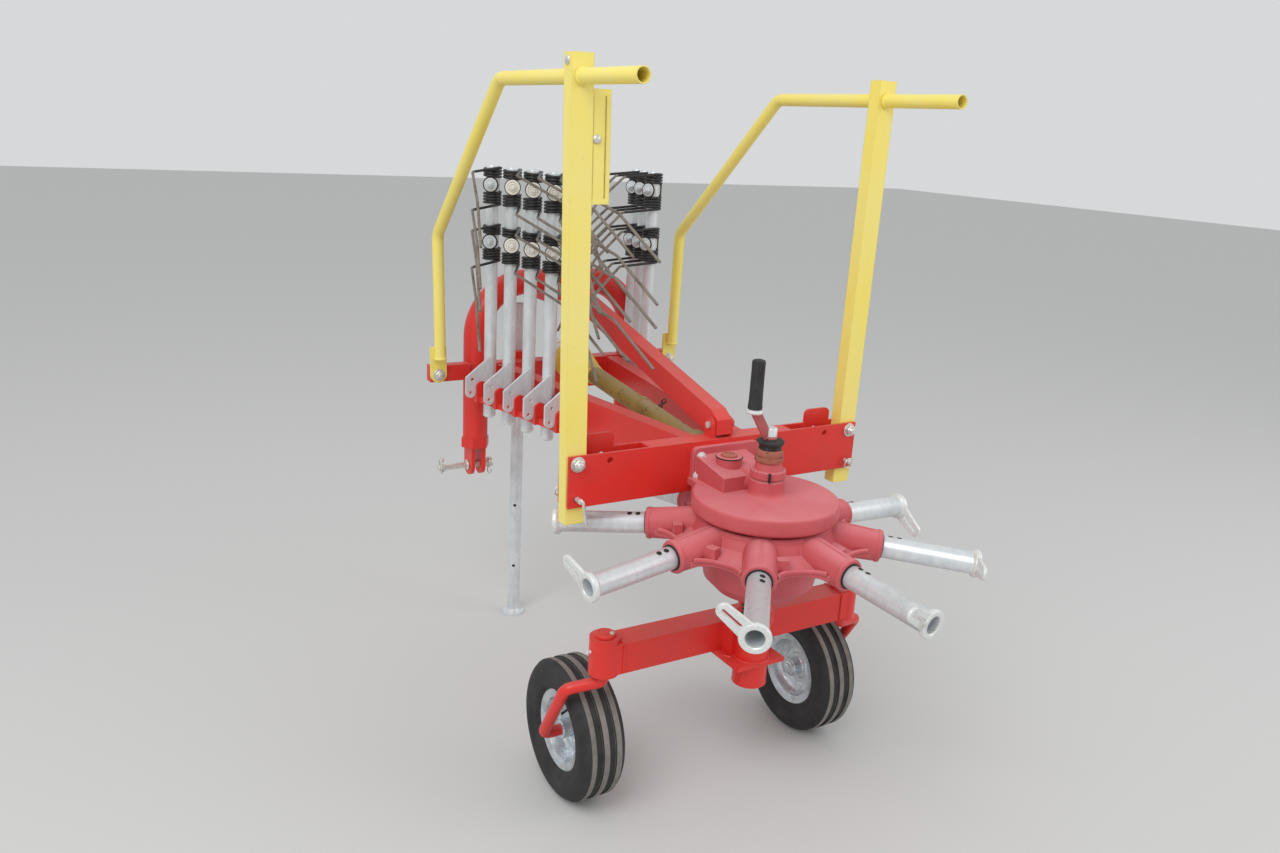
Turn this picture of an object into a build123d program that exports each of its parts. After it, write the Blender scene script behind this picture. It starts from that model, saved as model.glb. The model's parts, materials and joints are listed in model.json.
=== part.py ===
"""Rotary rake for a three-point linkage, parked with its tine arms in their racks.

Millimetres. +Y points at the tractor, +X to the machine's right, +Z up. The rotor axis is the
line x = 0, y = 0 and the floor is z = 0 until the last block, which shifts the finished pieces
so that the origin lies at the middle of the bottom of the whole machine.
"""
from build123d import *
import math
import os

os.makedirs("parts", exist_ok=True)

# Running gaps
seat_gap = 0.3
slide_gap = 1.0

# Crossbeam: two plates with a box between them, open at both ends for the guard uprights
beam_half = 490.0
beam_bottom = 900.0
beam_height = 143.0
beam_rear = 206.0
plate_thick = 8.0
upright_wide = 60.0
upright_deep = 40.0
upright_side_gap = 2.0
pocket_inner = 245.0
beam_top = beam_bottom + beam_height
beam_gap = upright_deep + 2 * upright_side_gap
beam_front = beam_rear + 2 * plate_thick + beam_gap
tab_from = 331.0
tab_to = 425.0
tab_rise = 40.0
tab_round = 18.0

# Guard pivots and lock holes
pivot_x = 465.0
pivot_z = 1021.0
pivot_pin = 20.0
bolt_head = 12.0
bolt_wide = 30.0
lock_step = 97.0
lock_hole = 18.0
lock_pin = 16.0

# Headstock: a bent tube standing on the two lower hitch clevises
leg_x = 310.0
leg_y = 1300.0
leg_tube = 88.0
leg_wall = 8.0
leg_bottom = 752.0
arch_top = 1325.0
arch_bend = 190.0
hitch_z = 665.0
hitch_pin = 22.0
hitch_span = 683.0
hitch_shank = 28.0
clevis_gap = 26.0
clevis_plate = 14.0
hitch_stub = 22.0
hitch_reach = 108.0
hitch_inner = leg_x - clevis_gap / 2 - clevis_plate - hitch_stub
hitch_outer = hitch_span / 2 + hitch_reach
clevis_deep = 72.0
collar_high = 34.0
collar_wide = 104.0
mast_z = 1275.0
mast_pin = 19.0
mast_gap = 52.0
mast_reach = 72.0
mast_plate = 10.0
mast_high = 72.0
cross_deep = 60.0
cross_low = 930.0
cross_top = 1040.0
arm_deep = 40.0
arm_high = 56.0
arm_end = 490.0

# V beams between the crossbeam and the headstock
vbeam_wide = 50.0
vbeam_wall = 6.0
vbeam_rear_x = 82.0
vbeam_front_x = 224.0

# Upper brace
brace_wide = 50.0
brace_high = 60.0
brace_wall = 5.0
brace_foot_z = 1078.0
brace_foot_y = 238.0
brace_top_z = 1338.0
lug_thick = 8.0
lug_round = 44.0
brace_bolt = 20.0

# Racks: a bar beside each V beam with a round-topped peg for every stored arm
arm_tube = 42.0
arm_wall = 3.0
arm_low = 880.0
arm_top = 1712.0
bar_low = 935.0
bar_high = 18.0
bar_clear = 6.0
bar_wide = 32.0
peg_wide = 38.0
peg_deep = 24.0
peg_high = 54.0
bracket_thick = 12.0
bracket_inset = 2.0
rack_overhang = 24.0
peg_off = arm_tube / 2 + bar_clear + bar_wide / 2
peg_top = bar_low + bar_high + peg_high
# Hook plate of a stored arm: its notch hangs on the peg
hook_thick = 8.0
hook_bite = 2.0
hook_leg = 36.0
hook_drop = 56.0
hook_rise = 16.0
hook_slant = 68.0
hook_hole = 12.0
hook_edge = 12.6
hook_inner = peg_off + peg_wide / 2 + seat_gap
beam_splay = (vbeam_front_x - vbeam_rear_x) / (leg_y - cross_deep / 2 - beam_front)
# columns: rack side (-1 left, +1 right), place along Y, roll of the tines about the tube
stored_arms = (
    (-1, 1200.0, 204.0),
    (-1, 1093.0, 240.0),
    (-1, 986.0, 240.0),
    (-1, 880.0, 240.0),
    (-1, 773.0, 265.0),
    (1, 1235.0, 172.0),
    (1, 1160.0, 172.0),
    (1, 1085.0, 172.0),
)
# side: distance of the row of arms from the middle at its front, and its slope along Y
arm_rows = {-1: (298.0, 0.22), 1: (270.0, 0.1414)}
row_front = 1200.0

# Spring tines, two double ones on each arm
tine_wire = 9.0
coil_out = 63.0
coil_high = 40.0
coil_pitch = 78.0
tine_places = (1667.0, 1482.0)
coil_inset = 1.0
finger_level = 122.0
finger_fall = 6.0
finger_swing = 48.0
# columns: angle below the level and length of each stretch of a finger past its knee
finger_parts = ((17.0, 250.0), (36.0, 200.0))

# Gearbox and crank
flange_half = 112.0
flange_low = 908.0
flange_top = 1030.0
flange_thick = 16.0
box_radius = 140.0
box_low = 925.0
box_top = 985.0
lid_radius = 196.0
lid_low = 922.0
lid_top = 942.0
housing_rear = 52.0
housing_left = 104.0
housing_right = 66.0
housing_slope = 24.0
cover_radius = 36.0
cover_x = -40.0
cover_y = 124.0
cover_high = 12.0
boss_radius = 46.0
boss_top = 1040.0
clamp_low = 998.0
clamp_high = 20.0
clamp_groove = 4.0
neck_radius = 17.0
neck_high = 72.0
crank_reach = 62.0
crank_bar = 16.0
crank_slant = 36.0
crank_stem = 40.0
crank_bend = 12.0
grip_radius = 16.0
grip_long = 132.0
neck_top = boss_top + neck_high
crank_top = neck_top + crank_slant + crank_stem
shaft_z = 968.0
shaft_tube = 68.0
shaft_hole = 80.0

# Rotor
stub_count = 8
stub_phase = 6.7
stub_tube = 60.0
stub_bore = arm_tube + 2 * slide_gap
stub_tip = 569.0
stub_tip_z = 808.0
stub_slope = 5.0
socket_inner = 130.0
socket_root = 234.0
socket_end = 317.0
shaft_end = socket_end + 13.0
socket_round = 100.0
hub_radius = 240.0
hub_low = 778.0
hub_top = 884.0
hub_bore = 116.0
drum_radius = 182.0
drum_foot = 196.0
web_low = 812.0
web_high = 14.0
web_radius = 290.0
scallop_place = 318.0
scallop_radius = 78.0
socket_taper = 2.5
lug_turn = 13.5
lug_place = 234.0
lug_deep = 26.0
lug_wide = 30.0
lug_high = 34.0
bearing_high = 30.0
pan_radius = 172.0
pan_foot = 118.0
pan_low = 676.0
ear_thick = 10.0
ear_reach = 100.0
ear_wide = 38.0
ring_round = 72.0
ear_slot = 34.0
ear_slot_wide = 12.0
ear_slot_place = 72.0
# columns: roll of the ear of each stub about the stub, counted from level
ear_rolls = (213.0, 200.0, 185.0, 175.0, 170.0, 170.0, 232.0, 195.0)

# Column and undercarriage
column_round = 97.0
column_low = 385.0
column_wall = 10.0
under_rear = 62.0
under_deep = 80.0
under_low = 464.0
under_top = 552.0
under_wall = 6.0
swivel_x = 418.0
swivel_round = 56.0
swivel_pin = 30.0
swivel_top = 566.0
swivel_low = 458.0
foot_plate = 160.0
foot_plate_mid = 30.0
foot_plate_thick = 12.0
saddle_wide = 120.0
saddle_rear = 20.0

# Casters and wheels
caster_trail = 155.0
caster_bar = 30.0
tyre_radius = 205.0
tyre_wide = 139.0
rim_radius = 116.0
rim_wide = 96.0
axle_round = 25.0
wheel_gap = 14.0

# Stand
stand_x = -112.0
stand_tube = 46.0
stand_wall = 4.0
stand_sleeve = 60.0
stand_clear = 5.0
sleeve_low = 905.0
sleeve_top = 1065.0
foot_round = 84.0
foot_thick = 10.0
stand_top = 1235.0

# Guards
guard_top = 2036.0
guard_low = 851.0
upright_wall = 4.0
rail_round = 38.0
rail_wall = 3.0
rail_z = guard_top - 54.0
rail_rear = -64.0
rail_knee = 709.0
rail_bite = 3.0
rail_low_knee = 1500.0
rail_end = 1078.0
rail_bend = 60.0
guard_lean = {-1: 1.3, 1: 0.6}
arm_box_top = rail_z - rail_round / 2 - 7.0
arm_box_low = arm_box_top - 271.0
arm_box_wide = 48.0
front_plate = 10.0
front_gap = 2.0
arm_rear = leg_y - leg_tube / 2 + 4
rail_front = arm_rear - front_gap - front_plate - rail_round / 2 + rail_bite

# Drive shaft stored on the headstock's cross bar
input_round = 35.0
drive_tube = 64.0
drive_cone = 142.0
drive_yoke = 68.0
drive_rear_z = 984.0
yoke_past = 50.0
yoke_bore = 35.2
yoke_bore_long = 80.0
cone_from = 680.0
cone_long = 170.0


def beam_x(side, y):
    """Middle of a V beam at a place along Y."""
    return side * (vbeam_rear_x + beam_splay * (y - beam_front))


def arm_place(side, y):
    """Middle of a stored tine arm, in the row beside its V beam."""
    front, slope = arm_rows[side]
    return side * (front - slope * (row_front - y))


def hook_place(y):
    """Middle of an arm's hook plate along Y: the plate is let into the rear of the tube."""
    return y - arm_tube / 2 + hook_bite - hook_thick / 2


finished = []


def keep(piece, name):
    """Label a finished piece and remember it for the last block."""
    piece.part.label = name
    finished.append(piece.part)


def keep_leaning(piece, name, side):
    """Lean a guard's piece outwards about its pivot and keep it."""
    pivot = Axis((side * pivot_x, 0, pivot_z), (0, 1, 0))
    leaning = piece.part.rotate(pivot, side * guard_lean[side])
    leaning.label = name
    finished.append(leaning)


# Crossbeam
with BuildPart() as crossbeam:
    with BuildSketch(Plane.XZ.offset(-beam_rear - plate_thick)):
        with Locations((0, beam_bottom + beam_height / 2)):
            Rectangle(2 * beam_half, beam_height)
    extrude(amount=plate_thick)
    with BuildSketch(Plane.XZ.offset(-beam_front)):
        with Locations((0, beam_bottom + beam_height / 2)):
            Rectangle(2 * beam_half, beam_height)
        for side in (-1, 1):
            with Locations((side * (tab_from + tab_to) / 2, beam_top + (tab_rise - 30) / 2)):
                RectangleRounded(tab_to - tab_from, tab_rise + 30, tab_round)
    extrude(amount=plate_thick)
    with BuildSketch(Plane.XY.offset(beam_bottom)):
        with Locations((0, beam_rear + plate_thick + beam_gap / 2)):
            Rectangle(2 * pocket_inner, beam_gap)
    extrude(amount=beam_height)
    with BuildSketch(Plane.XZ.offset(-beam_front)):
        for side in (-1, 1):
            with Locations((side * pivot_x, pivot_z)):
                Circle(pivot_pin / 2 + seat_gap)
            with Locations((side * pivot_x, pivot_z - lock_step), (side * (pivot_x - lock_step), pivot_z)):
                Circle(lock_hole / 2)
        with Locations((0, shaft_z)):
            Circle(shaft_hole / 2)
    extrude(amount=beam_front - beam_rear, mode=Mode.SUBTRACT)
    for side in (-1, 1):
        with BuildSketch(Plane.YZ.offset(side * (brace_wide / 2 + slide_gap + lug_thick / 2) - lug_thick / 2)):
            with Locations((brace_foot_y, beam_top)):
                Rectangle(52, 2)
            with Locations((brace_foot_y, brace_foot_z - 20)):
                Rectangle(lug_round, 2 * (brace_foot_z - 20 - beam_top))
            with Locations((brace_foot_y, brace_foot_z)):
                Circle(lug_round / 2)
            with Locations((brace_foot_y, brace_foot_z)):
                Circle(brace_bolt / 2, mode=Mode.SUBTRACT)
        extrude(amount=lug_thick)
keep(crossbeam, "crossbeam")

# V beams
for side, name in ((-1, "vbeam_left"), (1, "vbeam_right")):
    front = leg_y - cross_deep / 2
    with BuildPart() as vbeam:
        with BuildSketch(Plane.XY.offset(cross_low)):
            with BuildLine():
                half = vbeam_wide / 2
                Polyline(
                    (beam_x(side, beam_front) - half, beam_front),
                    (beam_x(side, beam_front) + half, beam_front),
                    (beam_x(side, front) + half, front),
                    (beam_x(side, front) - half, front),
                    close=True,
                )
            make_face()
        extrude(amount=cross_top - cross_low)
        with BuildSketch(Plane.XY.offset(cross_low + vbeam_wall)):
            with BuildLine():
                half = vbeam_wide / 2 - vbeam_wall
                Polyline(
                    (beam_x(side, beam_front) - half, beam_front),
                    (beam_x(side, beam_front) + half, beam_front),
                    (beam_x(side, front) + half, front),
                    (beam_x(side, front) - half, front),
                    close=True,
                )
            make_face()
        extrude(amount=cross_top - cross_low - 2 * vbeam_wall, mode=Mode.SUBTRACT)
    keep(vbeam, name)

# Headstock: arch, cross bar, side arms and clevises welded into one
with BuildPart() as headstock:
    with BuildLine() as arch_line:
        FilletPolyline(
            (-leg_x, leg_y, leg_bottom),
            (-leg_x, leg_y, arch_top),
            (leg_x, leg_y, arch_top),
            (leg_x, leg_y, leg_bottom),
            radius=arch_bend,
        )
    with BuildSketch(Plane(origin=(-leg_x, leg_y, leg_bottom), z_dir=(0, 0, 1))):
        Circle(leg_tube / 2)
        Circle(leg_tube / 2 - leg_wall, mode=Mode.SUBTRACT)
    sweep(path=arch_line.wires()[0])
    with BuildSketch(Plane.XY.offset(cross_low)):
        with Locations((0, leg_y)):
            Rectangle(2 * leg_x, cross_deep)
    extrude(amount=cross_top - cross_low)
    with BuildSketch(Plane.XY.offset(pivot_z - arm_high / 2)):
        for side in (-1, 1):
            with Locations((side * (leg_x + arm_end) / 2, leg_y - leg_tube / 2 + arm_deep / 2 + 4)):
                Rectangle(arm_end - leg_x, arm_deep)
    extrude(amount=arm_high)
    with BuildSketch(Plane.XZ.offset(-leg_y - 40)):
        for side in (-1, 1):
            with Locations((side * pivot_x, pivot_z)):
                Circle(pivot_pin / 2 + seat_gap)
    extrude(amount=120, mode=Mode.SUBTRACT)
    for side in (-1, 1):
        with BuildSketch(Plane.XY.offset(leg_bottom - collar_high / 2)):
            with Locations((side * leg_x, leg_y)):
                RegularPolygon(collar_wide / 2, 6)
        extrude(amount=collar_high)
        for cheek in (-1, 1):
            with BuildSketch(Plane.YZ.offset(side * leg_x + cheek * (clevis_gap + clevis_plate) / 2 - clevis_plate / 2)):
                with Locations((leg_y, (hitch_z + leg_bottom) / 2)):
                    Rectangle(clevis_deep, leg_bottom - hitch_z)
                with Locations((leg_y, hitch_z)):
                    Circle(clevis_deep / 2)
                with Locations((leg_y, hitch_z)):
                    Circle(hitch_shank / 2 + seat_gap, mode=Mode.SUBTRACT)
            extrude(amount=clevis_plate)
    for side in (-1, 1):
        with BuildSketch(Plane.YZ.offset(side * (mast_gap + mast_plate) / 2 - mast_plate / 2)):
            with Locations((leg_y + leg_tube / 2 + mast_reach / 2 - 22, mast_z + 8)):
                Rectangle(mast_reach + 20, mast_high)
            with Locations((leg_y + mast_reach, mast_z)):
                Circle(mast_pin / 2 + seat_gap, mode=Mode.SUBTRACT)
        extrude(amount=mast_plate)
keep(headstock, "headstock")

# Upper brace from the crossbeam to the top of the arch
with BuildPart() as top_brace:
    with BuildSketch(Plane.YZ.offset(-brace_wide / 2)):
        with BuildLine():
            Polyline(
                (brace_foot_y - 26, brace_foot_z + 18),
                (brace_foot_y - 26, brace_foot_z - 26),
                (brace_foot_y + 40, brace_foot_z - 26),
                (leg_y - 38, brace_top_z - brace_high / 2),
                (leg_y - 30, brace_top_z + brace_high / 2 - 6),
                (brace_foot_y + 10, brace_foot_z + 42),
                close=True,
            )
        make_face()
        with Locations((brace_foot_y, brace_foot_z)):
            Circle(brace_bolt / 2, mode=Mode.SUBTRACT)
    extrude(amount=brace_wide)
    with BuildSketch(Plane.YZ.offset(-brace_wide / 2 + brace_wall)):
        with BuildLine():
            Polyline(
                (brace_foot_y + 40, brace_foot_z - 16),
                (leg_y - 60, brace_top_z - brace_high / 2 + 4),
                (leg_y - 60, brace_top_z + brace_high / 2 - 20),
                (brace_foot_y + 40, brace_foot_z + 38),
                close=True,
            )
        make_face()
    extrude(amount=brace_wide - 2 * brace_wall, mode=Mode.SUBTRACT)
    with BuildLine() as arch_cut_line:
        Line((-leg_x, leg_y, arch_top), (leg_x, leg_y, arch_top))
    with BuildSketch(Plane(origin=(-leg_x, leg_y, arch_top), z_dir=(1, 0, 0))):
        Circle(leg_tube / 2)
    sweep(path=arch_cut_line.wires()[0], mode=Mode.SUBTRACT)
keep(top_brace, "top_brace")

# Brace pin
with BuildPart() as brace_pin:
    with BuildSketch(Plane.YZ.offset(-brace_wide / 2 - 16)):
        with Locations((brace_foot_y, brace_foot_z)):
            Circle(brace_bolt / 2 - seat_gap)
    extrude(amount=brace_wide + 32)
keep(brace_pin, "brace_pin")

# Lower hitch pins, pointing outwards from the clevises
for side, name in ((-1, "hitch_pin_left"), (1, "hitch_pin_right")):
    with BuildPart() as hitch_stud:
        with BuildSketch(Plane.YZ.offset(side * hitch_inner)):
            with Locations((leg_y, hitch_z)):
                Circle(hitch_pin / 2)
        extrude(amount=side * (hitch_outer - hitch_inner))
        with BuildSketch(Plane.YZ.offset(side * hitch_inner)):
            with Locations((leg_y, hitch_z)):
                Circle(hitch_shank / 2)
        extrude(amount=side * (hitch_span / 2 - hitch_inner))
    keep(hitch_stud, name)

# Racks
for side, name in ((-1, "rack_left"), (1, "rack_right")):
    hung = sorted(y for arm_side, y, roll in stored_arms if arm_side == side)
    rear = hook_place(hung[0]) - rack_overhang
    front = hook_place(hung[-1]) + rack_overhang
    with BuildPart() as rack:
        with BuildSketch(Plane.XY.offset(bar_low)):
            with BuildLine():
                inner = side * (peg_off - bar_wide / 2)
                outer = side * (peg_off + bar_wide / 2)
                Polyline(
                    (arm_place(side, rear) + inner, rear),
                    (arm_place(side, front) + inner, front),
                    (arm_place(side, front) + outer, front),
                    (arm_place(side, rear) + outer, rear),
                    close=True,
                )
            make_face()
        extrude(amount=bar_high)
        for y in hung:
            with BuildSketch(Plane.XZ.offset(-hook_place(y) - peg_deep / 2)):
                with Locations((arm_place(side, y) + side * peg_off, 0)):
                    with Locations((0, (bar_low + peg_top - peg_wide / 2) / 2)):
                        Rectangle(peg_wide, peg_top - peg_wide / 2 - bar_low)
                    with Locations((0, peg_top - peg_wide / 2)):
                        Circle(peg_wide / 2)
            extrude(amount=peg_deep)
        for first, second in zip(hung, hung[1:]):
            y = (first + second) / 2
            with BuildSketch(Plane.XY.offset(bar_low + bracket_inset)):
                with BuildLine():
                    half = bracket_thick / 2
                    Polyline(
                        (beam_x(side, y - half) + side * vbeam_wide / 2, y - half),
                        (beam_x(side, y + half) + side * vbeam_wide / 2, y + half),
                        (arm_place(side, y + half) + side * peg_off, y + half),
                        (arm_place(side, y - half) + side * peg_off, y - half),
                        close=True,
                    )
                make_face()
            extrude(amount=bar_high - 2 * bracket_inset)
    keep(rack, name)


def tine_line(side, y, roll, z):
    """Corners of one finger: it leaves its coil nearly level, then swings sideways and falls away."""
    a = math.radians(roll)
    b = math.radians(roll + finger_swing)
    out = Vector(math.cos(a), math.sin(a), -math.tan(math.radians(finger_fall)))
    across = Vector(-math.sin(a), math.cos(a), 0)
    start = Vector(arm_place(side, y), y, z) + across * (coil_out / 2 - tine_wire / 2 - coil_inset)
    corners = [start, start + out * finger_level]
    for drop, length in finger_parts:
        level = math.cos(math.radians(drop)) * length
        fall = math.sin(math.radians(drop)) * length
        corners.append(corners[-1] + Vector(math.cos(b) * level, math.sin(b) * level, -fall))
    return corners


# Stored tine arms: tube with its hook plate, and the spring tines round it
for side, group in ((-1, "left"), (1, "right")):
    with BuildPart() as arms:
        for arm_side, y, roll in stored_arms:
            if arm_side != side:
                continue
            x = arm_place(side, y)
            with BuildSketch(Plane.XY.offset(arm_low)):
                with Locations((x, y)):
                    Circle(arm_tube / 2)
            extrude(amount=arm_top - arm_low)
            with BuildSketch(Plane.XY.offset(arm_low)):
                with Locations((x, y)):
                    Circle(arm_tube / 2 - arm_wall)
            extrude(amount=arm_top - arm_low, mode=Mode.SUBTRACT)
            with BuildSketch(Plane.XZ.offset(-hook_place(y) - hook_thick / 2)):
                with BuildLine():
                    outer = hook_inner + hook_leg
                    Polyline(
                        (x, peg_top - hook_drop / 2),
                        (x, peg_top + hook_rise + hook_slant),
                        (x + side * hook_edge, peg_top + hook_rise + hook_slant),
                        (x + side * outer, peg_top + hook_rise),
                        (x + side * outer, peg_top - hook_drop + hook_leg / 2),
                        (x + side * hook_inner, peg_top - hook_drop + hook_leg / 2),
                        (x + side * hook_inner, peg_top - hook_drop / 2),
                        close=True,
                    )
                make_face()
                with Locations((x + side * (hook_inner + hook_leg / 2), peg_top - hook_drop + hook_leg / 2)):
                    Circle(hook_leg / 2)
                with Locations((x + side * peg_off, peg_top - peg_wide / 2)):
                    Circle(peg_wide / 2 + seat_gap, mode=Mode.SUBTRACT)
                with Locations((x + side * peg_off, peg_top - peg_wide)):
                    Rectangle(peg_wide + 2 * seat_gap, peg_wide, mode=Mode.SUBTRACT)
                with Locations(
                    (x + side * (hook_inner + hook_leg / 2), peg_top - hook_drop + hook_leg / 2),
                    (x + side * (hook_inner + hook_leg / 3), peg_top + hook_rise / 2),
                ):
                    Circle(hook_hole / 2, mode=Mode.SUBTRACT)
            extrude(amount=hook_thick)
            with BuildSketch(Plane.XY.offset(arm_low)):
                with Locations((x, y)):
                    Circle(arm_tube / 2 - arm_wall)
            extrude(amount=arm_top - arm_low, mode=Mode.SUBTRACT)
    keep(arms, "tine_arms_" + group)

    with BuildPart() as tines:
        for arm_side, y, roll in stored_arms:
            if arm_side != side:
                continue
            x = arm_place(side, y)
            for z in tine_places:
                for end in (-1, 1):
                    middle = z + end * coil_pitch / 2
                    with BuildSketch(Plane.XY.offset(middle - coil_high / 2)):
                        with Locations((x, y)):
                            Circle(coil_out / 2)
                            Circle(arm_tube / 2 + seat_gap, mode=Mode.SUBTRACT)
                    extrude(amount=coil_high)
                    corners = tine_line(side, y, roll, middle + end * (coil_high - tine_wire) / 2)
                    with BuildLine() as finger_line:
                        Polyline(*corners)
                    with BuildSketch(Plane(origin=corners[0], z_dir=corners[1] - corners[0])):
                        RegularPolygon(tine_wire / 2, 8)
                    sweep(path=finger_line.wires()[0], transition=Transition.RIGHT)
    keep(tines, "spring_tines_" + group)

# Gearbox bolted on the rear face of the crossbeam, above the rotor
with BuildPart() as gearbox:
    with BuildSketch(Plane.XZ.offset(-beam_rear + flange_thick)):
        with Locations((0, (flange_low + flange_top) / 2)):
            RectangleRounded(2 * flange_half, flange_top - flange_low, 18)
    extrude(amount=-flange_thick)
    with BuildSketch(Plane.XY.offset(box_low)):
        Circle(box_radius)
    extrude(amount=lid_top - box_low + 2)
    with BuildSketch(Plane.XY.offset(lid_low)):
        Circle(lid_radius)
        with Locations((0, (beam_rear - slide_gap) / 2)):
            Rectangle(1.2 * lid_radius, beam_rear - slide_gap)
    extrude(amount=lid_top - lid_low)
    with BuildSketch(Plane.YZ.offset(-housing_left)):
        with BuildLine():
            Polyline(
                (housing_rear, lid_top - 2),
                (housing_rear, box_top),
                (beam_rear - flange_thick + 2, box_top + housing_slope),
                (beam_rear - flange_thick + 2, lid_top - 2),
                close=True,
            )
        make_face()
    extrude(amount=housing_left + housing_right)
    with BuildSketch(Plane.XY.offset(box_top)):
        with Locations((cover_x, cover_y)):
            Circle(cover_radius)
    extrude(amount=housing_slope + cover_high)
    with BuildSketch(Plane.XZ):
        with BuildLine():
            Polyline(
                (0, box_low),
                (boss_radius, box_low),
                (boss_radius, clamp_low - clamp_groove),
                (boss_radius - clamp_groove, clamp_low - clamp_groove),
                (boss_radius - clamp_groove, clamp_low),
                (boss_radius + 2, clamp_low),
                (boss_radius + 2, clamp_low + clamp_high),
                (boss_radius - 2 * clamp_groove, clamp_low + clamp_high),
                (boss_radius - 3 * clamp_groove, boss_top),
                (0, boss_top),
                close=True,
            )
        make_face()
    revolve(axis=Axis.Z)
    with BuildSketch(Plane.XZ.offset(-beam_rear)):
        with Locations((0, shaft_z)):
            Circle(shaft_tube / 2)
    extrude(amount=beam_rear)
keep(gearbox, "gearbox")

# Crank on the height spindle
with BuildPart() as crank:
    with BuildSketch(Plane.XY.offset(boss_top)):
        Circle(neck_radius)
    extrude(amount=neck_top - boss_top)
    with BuildLine() as crank_line:
        FilletPolyline(
            (0, 0, neck_top - 20),
            (0, 0, neck_top + crank_bend),
            (-crank_reach, 0, neck_top + crank_slant),
            (-crank_reach, 0, crank_top),
            radius=crank_bend,
        )
    with BuildSketch(Plane(origin=(0, 0, neck_top - 20), z_dir=(0, 0, 1))):
        Circle(crank_bar / 2)
    sweep(path=crank_line.wires()[0])
keep(crank, "height_crank")

with BuildPart() as grip:
    with BuildSketch(Plane.XY.offset(crank_top)):
        with Locations((-crank_reach, 0)):
            Circle(grip_radius)
    extrude(amount=grip_long)
    fillet(grip.edges().sort_by(Axis.Z)[-1], 6)
keep(grip, "crank_grip")

# Rotor hub: turned body, eight sockets with ribs
stub_rise = math.tan(math.radians(stub_slope))


def stub_plane(k, radius):
    """Plane across stub k at a distance from the rotor axis, its normal along the stub outwards."""
    a = math.radians(stub_phase + 45 * k)
    s = math.radians(stub_slope)
    z = stub_tip_z + (stub_tip - radius) * stub_rise
    outward = Vector(math.cos(a) * math.cos(s), math.sin(a) * math.cos(s), -math.sin(s))
    level = Vector(-math.sin(a), math.cos(a), 0)
    return Plane(origin=(radius * math.cos(a), radius * math.sin(a), z), x_dir=level, z_dir=outward)


with BuildPart() as hub:
    with BuildSketch(Plane.XZ):
        with BuildLine():
            Polyline(
                (hub_bore / 2, hub_low),
                (pan_radius - 6, hub_low),
                (drum_foot, hub_low + 22),
                (hub_radius, web_low),
                (hub_radius, web_low + web_high),
                (drum_foot, hub_top - 36),
                (drum_radius, hub_top - 8),
                (drum_radius - 8, hub_top),
                (column_round / 2 + seat_gap, hub_top),
                (column_round / 2 + seat_gap, hub_top - bearing_high),
                (hub_bore / 2, hub_top - bearing_high),
                close=True,
            )
        make_face()
    revolve(axis=Axis.Z)
    with BuildSketch(Plane.XY.offset(web_low)):
        Circle(web_radius)
        with PolarLocations(scallop_place, stub_count, stub_phase + 180 / stub_count):
            Circle(scallop_radius, mode=Mode.SUBTRACT)
        Circle(drum_radius, mode=Mode.SUBTRACT)
    extrude(amount=web_high)
    with BuildSketch(Plane.XY.offset(web_low)):
        with PolarLocations(lug_place, stub_count, stub_phase + lug_turn):
            Rectangle(lug_deep, lug_wide)
    extrude(amount=web_high + lug_high)
    for k in range(stub_count):
        with BuildSketch(stub_plane(k, socket_inner)):
            Circle(socket_round / 2)
        extrude(amount=socket_end - socket_inner, taper=socket_taper)
    for k in range(stub_count):
        with BuildSketch(stub_plane(k, socket_root - slide_gap)):
            Circle(stub_tube / 2 + seat_gap)
        extrude(amount=socket_end - socket_root + 20, mode=Mode.SUBTRACT)
keep(hub, "rotor_hub")

with BuildPart() as pan:
    with BuildSketch(Plane.XZ):
        with BuildLine():
            Polyline(
                (column_round / 2 + seat_gap, pan_low),
                (pan_foot, pan_low),
                (pan_radius - 20, pan_low + 34),
                (pan_radius - 6, hub_low),
                (pan_radius - 14, hub_low),
                (pan_radius - 28, pan_low + 38),
                (pan_foot - 4, pan_low + 8),
                (column_round / 2 + seat_gap, pan_low + 8),
                close=True,
            )
        make_face()
    revolve(axis=Axis.Z)
keep(pan, "rotor_pan")

# Stub tubes with their slotted ears
with BuildPart() as stubs:
    for k in range(stub_count):
        with BuildSketch(stub_plane(k, socket_root)):
            Circle(stub_tube / 2)
        extrude(amount=(shaft_end - socket_root) / math.cos(math.radians(stub_slope)))
        with BuildSketch(stub_plane(k, shaft_end)):
            Circle(stub_tube / 2)
            Circle(stub_bore / 2, mode=Mode.SUBTRACT)
        extrude(amount=(stub_tip - shaft_end) / math.cos(math.radians(stub_slope)))
        roll = math.radians(ear_rolls[k])
        with BuildSketch(stub_plane(k, stub_tip - ear_thick / 2)):
            Circle(ring_round / 2)
            with Locations(
                Location(
                    (
                        ear_reach / 2 * math.cos(roll),
                        ear_reach / 2 * math.sin(roll),
                    ),
                    math.degrees(roll),
                )
            ):
                SlotCenterToCenter(ear_reach - 10, ear_wide)
            Circle(stub_bore / 2, mode=Mode.SUBTRACT)
            with Locations(
                Location(
                    (
                        ear_slot_place * math.cos(roll),
                        ear_slot_place * math.sin(roll),
                    ),
                    math.degrees(roll),
                )
            ):
                SlotCenterToCenter(ear_slot, ear_slot_wide, mode=Mode.SUBTRACT)
        extrude(amount=ear_thick)
keep(stubs, "rotor_stubs")

# Column through the rotor down to the undercarriage
with BuildPart() as column:
    with BuildSketch(Plane.XY.offset(column_low)):
        Circle(column_round / 2)
        Circle(column_round / 2 - column_wall, mode=Mode.SUBTRACT)
    extrude(amount=lid_low - column_low)
keep(column, "column")

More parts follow.
